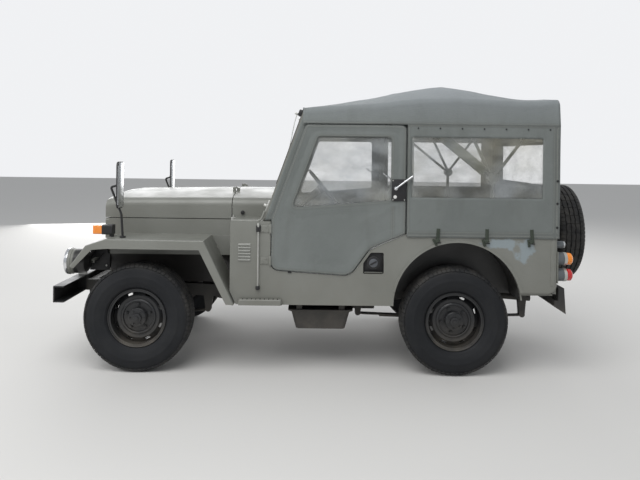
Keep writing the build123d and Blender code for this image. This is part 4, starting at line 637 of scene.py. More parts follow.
# Hood prop: a zinc rod stowed upright behind the wing in its clamp and foot, beside the bonnet's
# catch, which is a sprung strap over the joint of bonnet, cowl and wing panel.
both(rod, "stowed_rod_{}", [(0.521, 0.799, 0.617), (0.521, 0.799, 1.036)], 0.0065, zinc)
both(plate, "rod_clamp_{}", (0.521, 0.797, 1.020), (0.030, 0.018, 0.045), 0.003, black)
both(boss, "rod_foot_{}", (0.521, 0.799, 0.600), 0.015, 0.026, black, axle=up, edge=0.004)
both(boss, "rod_head_{}", (0.521, 0.799, 1.032), 0.009, 0.026, zinc, axle=up, edge=0.003)
both(boss, "cowl_knob_{}", (0.668, 0.4985, 1.103), 0.014, 0.018, black, edge=0.004)
both(plate, "catch_base_{}", (0.735, 0.5035, 1.052), (0.036, 0.008, 0.030), 0.002, zinc)
strap = [(0.735, 0.510, 1.040), (0.735, 0.514, 1.060), (0.735, 0.509, 1.084)]
both(rod, "catch_strap_{}", strap, 0.004, zinc)

# Curtain fastenings: webbing tie-down straps, each knotted through its footman loop, turn
# buttons at the rear curtain's edge, and snaps along the roof's lap.
for index, x in enumerate((-0.719, -1.057, -1.368)):
    both(plate, f"strap_{{}}_{index}", (x, 0.8015, 0.992), (0.024, 0.004, 0.090), 0.001, webbing,
         turn=(0.0, 0.06 * (index - 1), 0.0))
    both(plate, f"strap_knot_{{}}_{index}", (x + 0.003, 0.806, 0.955), (0.034, 0.012, 0.026),
         0.005, webbing, turn=(0.2, 0.4, 0.1))
    both(plate, f"strap_tail_{{}}_{index}", (x + 0.021, 0.8015, 0.942), (0.017, 0.003, 0.052),
         0.001, webbing, turn=(0.0, 0.55 - 0.2 * index, 0.0))
    loop = ((-0.022, 0.791), (-0.020, 0.799), (0.020, 0.799), (0.022, 0.791))
    both(rod, f"footman_loop_{{}}_{index}", [(x + dx, y, 0.938) for dx, y in loop], 0.003, black)
for stud, z in enumerate((1.374, 1.219, 1.053)):
    both(boss, f"curtain_stud_{{}}_{stud}", (-1.541, 0.7985, z), 0.0085, 0.005, black, edge=0.002,
         sides=20)
for stud in range(7):
    both(boss, f"lap_snap_{{}}_{stud}", (-0.575 - 0.152 * stud, 0.798, 1.728), 0.0058, 0.003,
         black, edge=0.001, sides=16)

# Step treads, mirrors and bumper: rubber ridges on each step, a mirror's glass and bright rim on
# its rear face with the swivel and foot of its stalk, and bolts and a shackle at each towing eye.
for ridge in range(9):
    both(plate, f"step_ridge_{{}}_{ridge}", (0.382 + 0.030 * ridge, 0.811, 0.5385),
         (0.006, 0.026, 0.003), 0.001, (rubber_part, "chassis_black"))
mirror_y, mirror_z = 0.742, 1.308
both(plate, "mirror_glass_{}", (1.4893, mirror_y, mirror_z), (0.0018, 0.100, 0.312), 0.0006, bright)
for hand, side in sides_table:
    for rim_y in (-0.0555, 0.0555):
        rim = [
            (1.493, side * mirror_y + rim_y, mirror_z + z) for z in (-0.135, -0.07, 0.0, 0.07, 0.135)
        ]
        rod(f"mirror_rim_{hand}_{rim_y:.3f}", rim, 0.0035, bright)
both(boss, "mirror_swivel_{}", (1.500, mirror_y, mirror_z), 0.017, 0.022, black, axle=ahead,
     edge=0.004)
both(boss, "mirror_foot_{}", (1.475, mirror_y, 0.939), 0.021, 0.012, black, axle=up, edge=0.003)
for y in (0.28, 0.347, 0.66):
    both(boss, f"bumper_bolt_{{}}_{y:.2f}", (1.9405, y, 0.545), 0.010, 0.0025, zinc, axle=ahead,
         edge=0.0008, sides=6)
shackle_x, shackle_z = 1.905, 0.640
bow = []
for step in range(11):
    turn = pi * step / 10
    bow.append((shackle_x - 0.052 * sin(turn), 0.347 + 0.026 * cos(turn), shackle_z + 0.016 * sin(turn)))
both(rod, "shackle_{}", bow, 0.006, zinc)
both(rod, "shackle_pin_{}", [(shackle_x, y, shackle_z) for y in (0.312, 0.382)], 0.008, zinc)

# Fuel filler: a black-lined recess with its cap and grip bar, open below to a drip lip
filler_x, filler_z = -0.277, 0.792
plate("filler_lining", (-0.279, 0.7668, 0.790), (0.136, 0.002, 0.142), 0.0008, black)
boss("filler_cap", (filler_x, 0.7855, filler_z), 0.0455, 0.0025, black, edge=0.001, sides=40)
boss("filler_cap_crown", (filler_x, 0.7865, filler_z), 0.030, 0.0065, dull, edge=0.003, sides=36)
plate("filler_grip", (filler_x, 0.7945, filler_z), (0.050, 0.006, 0.010), 0.0025, black,
      turn=(0.0, 0.5, 0.0))
plate("filler_lip", (filler_x, 0.7845, 0.7245), (0.124, 0.022, 0.003), 0.001, green,
      turn=(0.5, 0.0, 0.0))
for x in (-0.2105, -0.3445):
    plate(f"filler_cheek_{x:.3f}", (x, 0.778, 0.765), (0.002, 0.022, 0.08), 0.0008, black)

# Headlamps: a domed fluted glass over a silvered bowl, held by a bright ring with one screw.
lamp_glass, lamp_tree, lamp_shader = new_finish(
    "lamp_glass", Base_Color=(0.90, 0.93, 0.94), Roughness=0.06, Alpha=0.42
)
raised(lamp_tree, lamp_shader, waves(lamp_tree, "Y", 22.0), 0.003)
finish_nodes(lamp_glass, "headlamp_lenses", "clear_lenses")
silvered = (plain("silvered", (0.92, 0.93, 0.95), 0.05, 1.0), "bare_steel")
bowl_model = turned(
    "bowl", [(0.0, 0.0), (0.0, 0.078), (0.0012, 0.078), (0.0012, 0.02), (0.0022, 0.0)], 48, False
)
ring_model = turned(
    "ring",
    [(1.8975, 0.0775), (1.9045, 0.0785), (1.9085, 0.083), (1.9090, 0.089), (1.9060, 0.0935),
     (1.8930, 0.0950), (1.8850, 0.0945), (1.8850, 0.0920), (1.8975, 0.0905)], 64,
)
lamp_y, lamp_z = 0.605, 0.748
for hand, side in sides_table:
    place = Matrix.Translation((0.0, side * lamp_y, lamp_z)) @ Matrix.Rotation(-pi / 2, 4, "Z")
    hung(duplicate(ring_model, place), f"headlamp_ring_{hand}", bright)
    bowl_place = Matrix.Translation((1.8805, 0, 0)) @ place
    hung(duplicate(bowl_model, bowl_place), f"headlamp_bowl_{hand}", silvered)
bpy.data.objects.remove(bowl_model)
bpy.data.objects.remove(ring_model)
both(boss, "headlamp_screw_{}", (1.905, lamp_y, 0.663), 0.005, 0.006, zinc, axle=ahead, edge=0.001,
     sides=12)
lead = [(1.750, 0.600, 0.744), (1.725, 0.585, 0.739), (1.705, 0.560, 0.750), (1.690, 0.520, 0.790)]
both(rod, "headlamp_lead_{}", lead, 0.004, (rubber_part, "bumper_black"))
# A bracket arm holds each bucket from the wing's inner slope
both(plate, "headlamp_arm_{}", (1.742, 0.545, 0.746), (0.030, 0.100, 0.026), 0.003, green)


# Signal lamps: moulded lenses with ridges inside, and at the rear a zinc rim and a back plate.
def lens_plastic(name, colour):
    """Coloured lens plastic with moulded ridges."""
    made, tree, shader = new_finish(
        name, Base_Color=colour, Roughness=0.14, Subsurface_Weight=0.25,
        Subsurface_Radius=(0.012, 0.006, 0.002), Coat_Weight=0.6,
    )
    raised(tree, shader, waves(tree, "Z", 42.0), 0.0012)
    return made


finish_nodes(lens_plastic("amber_lens", (0.86, 0.26, 0.015)), "amber_lenses")
finish_nodes(lens_plastic("red_lens", (0.50, 0.012, 0.012)), "red_lenses")
tail_y = 0.742
for hand, side in sides_table:
    for lamp, z in enumerate((0.831, 0.719)):
        rim = turned(
            f"tail_lamp_rim_{hand}_{lamp}",
            [(0.0, 0.041), (0.006, 0.041), (0.007, 0.043), (0.006, 0.045), (-0.014, 0.0455),
             (-0.014, 0.044)], 48,
        )
        place = Matrix.Translation((-1.618, side * tail_y, z))
        rim.data.transform(place @ Matrix.Rotation(pi / 2, 4, "Z"))
        settled(rim.name, zinc)
both(plate, "tail_lamp_back_{}", (-1.5535, tail_y, 0.775), (0.006, 0.100, 0.220), 0.002, green)

# Canvas top: one sheet of proofed cotton duck, sewn from a roof and three curtains, hung over
# the bows and strapped down along the tub. It sags between the bows, the roof's edge laps the
# curtains in a felled seam, and the hem is turned up double.
canvas_half, roof_half = 0.797, 0.783
hem_z, stitch_z, lap_z = 0.974, 1.000, 1.752
front_x, door_x, rear_x = 0.222, -0.503, -1.5585
roof_line = [
    # x, height of the shoulder, height of the crest
    (0.226, 1.868, 1.896),
    (0.06, 1.880, 1.925),
    (-0.145, 1.896, 1.966),
    (-0.34, 1.915, 2.004),
    (-0.52, 1.940, 2.046),
    (-0.70, 1.950, 2.080),
    (-0.845, 1.951, 2.090),
    (-1.0, 1.946, 2.071),
    (-1.18, 1.938, 2.030),
    (-1.36, 1.933, 1.996),
    (-1.49, 1.942, 1.984),
    (-1.5585, 1.946, 1.982),
]
side_pane = (-1.438, -0.534, 1.250, 1.664)
rear_pane = (-0.5, 0.5, 1.33, 1.63)
strap_places = [-0.719, -1.057, -1.368]


def wave_at(x, y, z):
    """Soft noise from -1 to 1 that draws folds."""
    return noise.noise(Vector((x, y, z)))


def between(table, x):
    """Smooth values at x from a table whose first column falls steadily."""
    for index in range(len(table) - 1):
        if x >= table[index + 1][0] - 1e-9:
            break
    before = table[max(index - 1, 0)]
    low, high = table[index], table[index + 1]
    after = table[min(index + 2, len(table) - 1)]
    share = (x - low[0]) / (high[0] - low[0])
    values = []
    for p0, p1, p2, p3 in list(zip(before, low, high, after))[1:]:
        values.append(
            0.5 * (2 * p1 + (p2 - p0) * share + (2 * p0 - 5 * p1 + 4 * p2 - p3) * share ** 2
                   + (3 * p1 - p0 - 3 * p2 + p3) * share ** 3)
        )
    return values


def spread(stops, step):
    """Numbers from stop to stop, evenly spaced about a step apart, each stop among them."""
    made = [stops[0]]
    for low, high in zip(stops, stops[1:]):
        count = max(1, round(abs(high - low) / step))
        made += [low + (high - low) * part / count for part in range(1, count + 1)]
    return made


def half_section(x):
    """Points (y, z, outward y, outward z) of the left half, from the hem up to the crest."""
    shoulder, crest = between(roof_line, x)
    radius = 0.055
    lean = 2 * atan2(crest - shoulder, roof_half - radius)
    heights = spread([hem_z, 1.003, side_pane[2], side_pane[3], lap_z - 0.002], 0.0165)
    rows = [(canvas_half, z, 1.0, 0.0) for z in heights]
    centre_y, centre_z = roof_half - radius, shoulder - radius
    edge_y = canvas_half + 0.003
    for part in range(9):
        share = part / 8
        rows.append((
            edge_y + (roof_half - edge_y) * share, lap_z + (centre_z - lap_z) * share, 1.0, 0.0
        ))
    for part in range(1, 6):
        angle = (pi / 2 - lean) * part / 5
        rows.append((
            centre_y + radius * cos(angle), centre_z + radius * sin(angle), cos(angle), sin(angle)
        ))
    start_y, start_z = rows[-1][:2]
    arch_r = (start_y ** 2 + (crest - start_z) ** 2) / (2 * (crest - start_z))
    for part in range(1, 43):
        y = start_y * (1 - part / 42)
        z = crest - arch_r + sqrt(max(arch_r ** 2 - y ** 2, 0.0))
        rows.append((y, z, y / arch_r, sqrt(1 - (y / arch_r) ** 2)))
    return rows


def slack(x, y, z, roof):
    """How far the cloth stands out of its smooth line, from folds, pulls and sag."""
    out = 0.0035 * wave_at(x * 2.1, y * 1.5, z * 2.0)
    out += 0.0034 * wave_at(x * 5.5 + 7, y * 4.0, z * 3.0)
    if roof:
        return out + 0.0035 * wave_at(x * 3.0, y * 1.1 + 3.0, 1.7)
    for strap in strap_places:
        lean = x - strap - 0.10 * (z - hem_z) * (1 if x > strap else -1)
        out += 0.006 * exp(-((lean / 0.022) ** 2)) * exp(-(z - hem_z) / 0.16)
        out -= 0.005 * exp(-(((x - strap) / 0.05) ** 2)) * exp(-(z - hem_z) / 0.05)
    out += 0.0070 * wave_at(x * 9.0, 4.0 * abs(y), z * 1.4) * exp(-abs(z - 1.19) / 0.22)
    if z > side_pane[3]:
        out += 0.002 * wave_at(x * 16.0, 2.0, z * 2.5)
    return out


stations = spread([front_x, -0.10, door_x, side_pane[1], side_pane[0], rear_x], 0.0165)
top_mesh = bmesh.new()
sheet_uv = top_mesh.loops.layers.uv.new("cloth")
seam_mark = top_mesh.verts.layers.float.new("seam")
cloth_place = {}
columns = []
for x in stations:
    left = half_section(x)
    whole = left + [(-y, z, -oy, oz) for y, z, oy, oz in reversed(left[:-1])]
    column = []
    along = 0.0
    last_y, last_z = whole[0][:2]
    for y, z, out_y, out_z in whole:
        along += hypot(y - last_y, z - last_z)
        last_y, last_z = y, z
        roof = out_z > 0.3
        out = slack(x, y, z, roof) * min(1.0, (front_x - x) / 0.05)
        to_seam = min(abs(z - stitch_z), abs(z - lap_z) + (0.006 if z < lap_z else 0.0))
        if roof:
            out += sum(0.003 * exp(-(((x - bow) / 0.02) ** 2)) for bow in (-0.47, -0.845, -1.51))
            out -= 0.004
            to_seam = min(abs(abs(y) - 0.40), abs(x - 0.205))
        elif z >= lap_z:
            out -= 0.0015
        if z < stitch_z:
            out += 0.0016
        if z < lap_z:
            to_seam = min(to_seam, abs(x - door_x), abs(x - rear_x - 0.03))
        point = top_mesh.verts.new((x, y + out_y * out, z + out_z * out))
        point[seam_mark] = min(to_seam, 0.05)
        cloth_place[point] = (x, along)
        column.append(point)
    columns.append(column)
full = len(columns[0])
half = len(left) - 1


def kept(x0, x1, row):
    """Whether the cloth is there: above the door it ends at the lap, and windows are open."""
    mid_x = (x0 + x1) / 2
    low = row if row < half else full - 2 - row
    left = half_section(mid_x)
    low_z, high_z = left[low][1], left[min(low + 1, half)][1]
    if mid_x > door_x and high_z < lap_z + 0.0005:
        return False
    pane_x0, pane_x1, pane_z0, pane_z1 = side_pane
    return not (pane_x0 < mid_x < pane_x1 and pane_z0 < (low_z + high_z) / 2 < pane_z1)


made_faces = []
for first, second, x0, x1 in zip(columns, columns[1:], stations, stations[1:]):
    for row in range(full - 1):
        if kept(x0, x1, row):
            made_faces.append(
                top_mesh.faces.new((first[row], first[row + 1], second[row + 1], second[row]))
            )
across = 60
rear_rows = []
for row in range(half + 1):
    left_point, right_point = columns[-1][row], columns[-1][full - 1 - row]
    line = [left_point]
    for step in range(1, across):
        if row == half:
            line.append(left_point)
            continue
        share = step / across
        y = left_point.co.y + (right_point.co.y - left_point.co.y) * share
        z = left_point.co.z
        bulge = 0.003 * wave_at(3.3, y * 4.5, z * 3.0) * sin(pi * share)
        point = top_mesh.verts.new((rear_x - 0.0012 - abs(bulge) * 0.6, y, z))
        point[seam_mark] = min(abs(z - stitch_z), abs(abs(y) - 0.762), 0.05)
        cloth_place[point] = (rear_x - (canvas_half - y), z + 4.0)
        line.append(point)
    rear_rows.append([*line, right_point])
pane_y0, pane_y1, pane_z0, pane_z1 = rear_pane
for lower, upper in zip(rear_rows, rear_rows[1:]):
    for step in range(across):
        mid_y = (lower[step].co.y + lower[step + 1].co.y) / 2
        mid_z = (lower[step].co.z + upper[step].co.z) / 2
        in_pane = pane_y0 < mid_y < pane_y1 and pane_z0 < mid_z < pane_z1
        if in_pane or (abs(mid_y) < 0.452 and mid_z < 1.002):
            continue
        corners = []
        for point in (lower[step], lower[step + 1], upper[step + 1], upper[step]):
            if point not in corners:
                corners.append(point)
        if len(corners) > 2 and not top_mesh.faces.get(corners):
            made_faces.append(top_mesh.faces.new(corners))
for face in made_faces:
    for loop in face.loops:
        loop[sheet_uv].uv = cloth_place[loop.vert]
    face.smooth = True
loose = [point for point in top_mesh.verts if not point.link_faces]
bmesh.ops.delete(top_mesh, geom=loose, context="VERTS")
bmesh.ops.recalc_face_normals(top_mesh, faces=top_mesh.faces)


def placed(name, mesh):
    """Put a built mesh in the scene as a piece of its own, and leave only it selected."""
    data = bpy.data.meshes.new(name)
    mesh.to_mesh(data)
    mesh.free()
    made = bpy.data.objects.new(name, data)
    bpy.context.scene.collection.objects.link(made)
    bpy.ops.object.select_all(action="DESELECT")
    made.select_set(True)
    bpy.context.view_layer.objects.active = made
    return made


def duck_cloth(name, colour, faded, grime):
    """Proofed cotton duck: plain weave, sun-faded in patches, grimy along its hems, with a double row of
    stitches beside each seam that the mesh marks, and lighter and bluer towards the roof's top as
    painted sky light."""
    made, tree, shader = new_finish(
        name, Roughness=0.82, Sheen_Weight=0.15, Sheen_Roughness=0.6
    )
    shade = blended(tree, patches(tree, 1.7, 6.0, 0.30, 0.72), colour, faded)
    streaks = patches(tree, 7.0, 5.0, 0.52, 0.80, (1.0, 1.0, 0.22))
    shade = blended(tree, maths(tree, "MULTIPLY", streaks, 0.45), shade, grime)
    seam = wired(tree, "Attribute", out="Fac", attribute_name="seam")
    shade = blended(tree, ranged(tree, seam, 0.028, 0.004, 0.0, 0.42), shade, grime)
    thread = maths(tree, "COMPARE", seam, 0.011, 0.0011)
    dashed = maths(tree, "MULTIPLY", thread, waves(tree, "DIAGONAL", 62.0))
    shade = blended(tree, dashed, shade, (0.26, 0.26, 0.23))
    # Painted sky light, with some sun-fading: lighter and bluer towards the top of the roof
    sky_lit_top = ranged(tree, axis(tree, on_object(tree), "Z"), 1.74, 2.02, 0.0, 0.75)
    feed(tree, shader, {"Base Color": blended(tree, sky_lit_top, shade, (0.235, 0.258, 0.275))})
    height = maths(tree, "MULTIPLY", patches(tree, 26.0, 5.0, 0.2, 0.8), 7.0)
    for direction in ("X", "Y", "Z"):
        yarn = waves(tree, direction, 160.0, Distortion=0.6, Detail=1.0)
        height = maths(tree, "ADD", height, yarn)
    raised(tree, shader, height, 0.00035)
    return made


canvas = duck_cloth("canvas", (0.135, 0.150, 0.143), (0.178, 0.194, 0.186), (0.085, 0.090, 0.080))
duck = (canvas, "canvas")
canvas_top = placed("canvas_top", top_mesh)
modified("SOLIDIFY", thickness=0.0022, offset=-1.0)
hung(canvas_top, "canvas_top", duck)
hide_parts("canopy")

# Storm flaps: strips of the same duck behind the doors' front and rear edges. The front one is
# drawn over the windscreen post and the rear one is laced round the post behind the door.
def strip(name, rows, thickness):
    """A strip of cloth joined from rows of (place, seam mark); it is also measured flat."""
    mesh = bmesh.new()
    mark = mesh.verts.layers.float.new("seam")
    grid = []
    for row in rows:
        line = []
        for place, seam in row:
            point = mesh.verts.new(place)
            point[mark] = seam
            line.append(point)
        grid.append(line)
    for lower, upper in zip(grid, grid[1:]):
        for index in range(len(lower) - 1):
            mesh.faces.new((lower[index], lower[index + 1], upper[index + 1], upper[index]))
    for face in mesh.faces:
        face.smooth = True
    made = placed(name, mesh)
    area = sum(polygon.area for polygon in made.data.polygons)
    modified("SOLIDIFY", thickness=thickness, offset=0.0)
    return settled(name, duck), area


def flap(name, columns, low_z, high_z, seam_column, **cut):
    """A flap on each side, from columns of (x at the foot, x at the head, y)."""
    rows = []
    for step in range(47):
        share = step / 46
        z = low_z + (high_z - low_z) * share
        row = []
        for index, (foot_x, head_x, y) in enumerate(columns):
            x = foot_x + (head_x - foot_x) * share
            pull = 0.0012 * wave_at(x * 6.0, y * 3.0, z * 7.0)
            seam = min(0.05, 0.011 + 0.012 * abs(index - seam_column))
            row.append(((x, y - abs(pull), z), seam))
        rows.append(row)
    left, _ = strip(f"{name}_left", rows, 0.0014)
    twin = duplicate(left, Matrix.Scale(-1.0, 4, (0, 1, 0)))
    for piece in (left, hung(twin, f"{name}_right", duck)):
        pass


front_columns = [
    (0.4802 - 0.0092 * step, 0.2234 - 0.0092 * step, 0.7716 - 0.0008 * max(0, step - 4))
    for step in range(9)
]
flap("post_flap", front_columns, 1.076, 1.80, 3, flat=(0.080, 0.77), rests_on=["windscreen_frame"],
     area=0.059)
rear_line = [
    (-0.548, 0.7885), (-0.538, 0.774), (-0.530, 0.7605), (-0.521, 0.7572), (-0.510, 0.7600),
    (-0.499, 0.7655), (-0.486, 0.7680), (-0.475, 0.7685), (-0.466, 0.7685),
]
flap("lock_flap", [(x, x, y) for x, y in rear_line], 0.998, 1.765, 7, flat=(0.105, 0.77),
     rests_on=["canopy_bows"], area=0.080)

# Header flap: the roof's front edge turned down over the windscreen's header and screwed to it.
head_half = [(y, z) for y, z, _, _ in half_section(front_x) if z > 1.846]
head_rows = []
for y, z in head_half + [(-y, z) for y, z in reversed(head_half[:-1])]:
    low_y = max(-0.764, min(0.764, y))
    row = [((0.2195, y, z - 0.001), 0.05), ((0.2235, y, z - 0.003), 0.012)]
    for share, seam in ((0.4, 0.03), (0.7, 0.02), (0.9, 0.011), (1.0, 0.004)):
        ripple = 0.0012 * wave_at(y * 9.0, share, 2.0)
        x = 0.2250 + 0.0015 * share + ripple
        row.append(((x, y + (low_y - y) * share, z + (1.833 - z) * share), seam))
    head_rows.append(row)
head_flap, head_area = strip("head_flap", list(zip(*head_rows)), 0.0016)

# Canvas doors: duck cloth sewn over a welded tube frame with a sheet lower half. The cloth is
# tight at the tube and slack between, and its edge is bound and stitched all round.
def cloth_distance(piece, outward):
    """Tree of places along the sharp outline of the piece's outer face."""
    mesh = bmesh.new()
    mesh.from_mesh(piece.data)
    bmesh.ops.remove_doubles(mesh, verts=mesh.verts, dist=0.0002)
    found = []
    for edge in mesh.edges:
        facing = [face.normal.dot(outward) for face in edge.link_faces]
        if len(facing) == 2 and max(facing) > 0.9 and min(facing) < 0.5:
            a, b = edge.verts[0].co, edge.verts[1].co
            count = max(1, int((b - a).length / 0.004))
            found += [a.lerp(b, step / count) for step in range(count + 1)]
    mesh.free()
    tree = kdtree.KDTree(len(found))
    for index, place in enumerate(found):
        tree.insert(place, index)
    tree.balance()
    return tree


for hand, side in sides_table:
    door_name = f"door_{hand}"
    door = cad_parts[door_name]
    rim_of_door = cloth_distance(door, Vector((0.0, side, 0.0)))
    door_mesh = bmesh.new()
    door_mesh.from_mesh(door.data)
    skin = placed(f"{door_name}_canvas", door_mesh)
    bpy.ops.object.mode_set(mode="EDIT")
    bpy.ops.mesh.select_all(action="SELECT")
    bpy.ops.mesh.remove_doubles(threshold=0.0002)
    bpy.ops.mesh.tris_convert_to_quads()
    bpy.ops.object.mode_set(mode="OBJECT")
    skin.data.remesh_voxel_size = 0.0065
    bpy.ops.object.voxel_remesh()
    modified("SMOOTH", factor=0.5, iterations=5)
    marks = skin.data.attributes.new("seam", "FLOAT", "POINT")
    for index, point in enumerate(skin.data.vertices):
        x, y, z = point.co
        _, _, away = rim_of_door.find(Vector((x, side * 0.8, z)))
        bound = abs(x + 0.4055) + 0.0055 if z < 1.19 else 0.05
        marks.data[index].value = min(away, bound, 0.05)
        slackness = min(1.0, max(0.0, (away - 0.020) / 0.05))
        folds = 0.0044 * wave_at(x * 3.2, side * 2.0, z * 2.4)
        folds += 0.0032 * wave_at(x * 8.0 + z * 5.0, side * 5.0, z * 3.0 - x * 2.0)
        drag = 0.0035 * exp(-(((x + 0.36) * 0.5 + (z - 1.16)) / 0.03) ** 2)
        drag *= exp(-((x + 0.40) / 0.16) ** 2)
        inward = 0.0055 if side * y > 0.788 else -0.0045
        point.co.y += side * (folds + drag - inward) * slackness
    for polygon in skin.data.polygons:
        polygon.use_smooth = True
    hung(skin, f"{door_name}_canvas", duck, door_name)
    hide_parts(door_name)

# Clear windows: flexible sheet sewn into the doors and curtains, yellowed, scuffed milky and
# rippled where the canvas pulls it. One sheet stands for each pane.
clear_sheet, clear_tree, clear_shader = new_finish(
    "clear_sheet", Roughness=0.12, Specular_IOR_Level=0.7
)
yellowing = patches(clear_tree, 3.2, 5.0, 0.35, 0.7)
scuffs = patches(clear_tree, 4.0, 7.0, 0.35, 0.70, (1.0, 1.0, 2.0))
feed(clear_tree, clear_shader, {
    "Base Color": blended(clear_tree, yellowing, (0.52, 0.55, 0.56), (0.50, 0.48, 0.38)),
    "Alpha": ranged(clear_tree, scuffs, 0.0, 1.0, 0.10, 0.34),
})
raised(clear_tree, clear_shader, patches(clear_tree, 11.0, 2.0, 0.2, 0.8), 0.004)

pane_table = [
    # name, body, node it stands for, low corner, high corner
    ("curtain_pane_left", "chassis", None, (-1.438, 0.7955, 1.250), (-0.534, 0.7955, 1.664)),
    ("curtain_pane_right", "chassis", None, (-1.438, -0.7955, 1.250), (-0.534, -0.7955, 1.664)),
    ("rear_pane", "chassis", "canopy_windows", (-1.5555, -0.50, 1.33), (-1.5555, 0.50, 1.63)),
    ("door_pane_left", "door_left", "door_left_pane", (-0.392, 0.7885, 1.170),
     (0.288, 0.7885, 1.662)),
    ("door_pane_right", "door_right", "door_right_pane", (-0.392, -0.7885, 1.170),
     (0.288, -0.7885, 1.662)),
]
for pane_name, pane_body, pane_node, low, high in pane_table:
    long, wide, tall = (b - a for a, b in zip(low, high))
    sideways = wide == 0.0
    pane = added(
        "grid", x_subdivisions=44, y_subdivisions=24, size=1.0,
        location=[(a + b) / 2 for a, b in zip(low, high)],
        rotation=(pi / 2, 0, 0) if sideways else (0, pi / 2, 0),
    )
    pane.scale = (long, tall, 1.0) if sideways else (tall, wide, 1.0)
    bpy.ops.object.transform_apply(location=True, rotation=True, scale=True)
    for point in pane.data.vertices:
        ripple = 0.004 * wave_at(point.co.x * 5, point.co.y * 5, point.co.z * 4)
        if pane_name.startswith("door"):
            share = (point.co.x - low[0]) / long
            height = (point.co.z - low[2]) / tall
            point.co.x = low[0] + share * (long + 0.004 - height * 0.176)
            point.co.z += 0.056 * (1 - share) * (1 - height)
        if sideways:
            point.co.y += ripple * 0.5
        else:
            point.co.x += abs(ripple) * 0.4
    modified("SOLIDIFY", thickness=0.0008, offset=0.0)
    bpy.ops.object.shade_smooth()
    pane = settled(pane_name, (clear_sheet, "clear_sheet"), pane_body)
    if pane_node:
        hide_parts(pane_node)

# Seats: foam cushions and sprung backs in sewn canvas covers, and two long bench pads. Each
# cover is blown up by a short cloth simulation, then piped along its edges and sewn across.
seat_cloth = (
    duck_cloth("seat_cloth", (0.105, 0.112, 0.092), (0.135, 0.140, 0.118), (0.060, 0.060, 0.050)),
    "seat_cloth",
)
back_up = Vector((-0.09, 0.0, 0.5)).normalized()
back_out = Vector((back_up.z, 0.0, -back_up.x))
back_turn = Matrix(((-back_up.x, 0.0, back_out.x), (0.0, 1.0, 0.0), (-back_up.z, 0.0, back_out.z)))
back_foot = Vector((-0.540, 0.300, 0.900))
back_place = (
    Matrix.Translation(back_foot + back_up * 0.200 + back_out * 0.046) @ back_turn.to_4x4()
)
seat_place = Matrix.Translation((-0.279, 0.300, 0.829))
bench_place = Matrix.Translation((-1.040, 0.602, 1.005))
mirrored = Matrix.Scale(-1.0, 4, (0, 1, 0))
pad_table = [
    # name, length, width, thickness, place, lowest face, how far it may swell, rows of sewing
    ("seat_pad", 0.396, 0.412, 0.072, seat_place, -0.0455, 0.012, (-0.33, 0.0, 0.33)),
    ("seat_back", 0.386, 0.412, 0.050, back_place, -0.0345, 0.010, (-0.30, 0.0, 0.30)),
    ("bench_pad", 0.826, 0.222, 0.044, bench_place, -0.028, 0.008, (-0.5, 0.0, 0.5)),
]
for pad_name, length, width, thick, place, floor_z, cap, rows in pad_table:
    pad = added("cube", size=1.0)
    pad.scale = (length, width, thick)
    bpy.ops.object.transform_apply(location=False, rotation=False, scale=True)
    modified("BEVEL", width=thick * 0.36, segments=4)
    pad.data.remesh_voxel_size = 0.006
    bpy.ops.object.voxel_remesh()
    start = [point.co.copy() for point in pad.data.vertices]
    puffing = pad.modifiers.new("puffing", "CLOTH")
    puffing.settings.use_pressure = True
    puffing.settings.uniform_pressure_force = 4.0
    puffing.settings.effector_weights.gravity = 0.0
    puffing.settings.quality = 5
    puffing.point_cache.frame_start = 1
    puffing.point_cache.frame_end = 20
    for moment in range(1, 21):
        bpy.context.scene.frame_set(moment)
    blown = pad.evaluated_get(bpy.context.evaluated_depsgraph_get())
    moved = [point.co.copy() for point in blown.data.vertices]
    pad.modifiers.remove(puffing)
    bpy.context.scene.frame_set(1)
    for point, before, after in zip(pad.data.vertices, start, moved):
        step = after - before
        if step.length > cap:
            step = step.normalized() * cap
        point.co = before + step
    for point in pad.data.vertices:
        dent = 0.0
        for row in rows:
            dent += exp(-(((point.co.y / width - row) * width / 0.010) ** 2)) * (abs(row) < 0.45)
        rim = min(length / 2 - abs(point.co.x), width / 2 - abs(point.co.y))
        side = 1 if point.co.z > 0 else -1
        if rim > 0.012 and abs(point.co.z) > thick * 0.30:
            point.co.z -= side * 0.007 * min(1.0, dent) * min(1.0, (rim - 0.012) / 0.03)
            point.co.z += side * 0.0022 * wave_at(point.co.x * 9, point.co.y * 7, length)
        half_x, half_y = length / 2 + 0.0035, width / 2 + 0.0035
        point.co.x = max(-half_x, min(half_x, point.co.x))
        point.co.y = max(-half_y, min(half_y, point.co.y))
        point.co.z = max(point.co.z, floor_z)
    marks = pad.data.attributes.new("seam", "FLOAT", "POINT")
    for index, point in enumerate(pad.data.vertices):
        to_side = abs(abs(point.co.z) - thick * 0.42)
        to_row = min(abs(point.co.y - row * width) for row in rows)
        marks.data[index].value = min(to_side + 0.004, to_row + 0.011, 0.05)
    pad.data.transform(place)
    modified("SUBSURF", levels=1, render_levels=1)
    bpy.ops.object.shade_smooth()
    left = settled(f"{pad_name}_left", seat_cloth)
    right = hung(duplicate(left, mirrored), f"{pad_name}_right", seat_cloth)
    # Piping: a corded welt sewn round the top edge
    corner = 0.030
    ring = []
    for sx, sy in ((1, 1), (-1, 1), (-1, -1), (1, -1)):
        for part in range(7):
            angle = atan2(sy, sx) + (part / 6 - 0.5) * pi / 2
            ring.append(place @ Vector((
                sx * (length / 2 - corner) + corner * cos(angle) + 0.001 * sx,
                sy * (width / 2 - corner) + corner * sin(angle) + 0.001 * sy,
                thick * 0.40,
            )))
    welt = rod(f"{pad_name}_welt_left", ring + ring[:1], 0.0032, seat_cloth)
    hung(duplicate(welt, mirrored), f"{pad_name}_welt_right", seat_cloth)
    if pad_name == "seat_pad":
        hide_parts("seat_cushions")

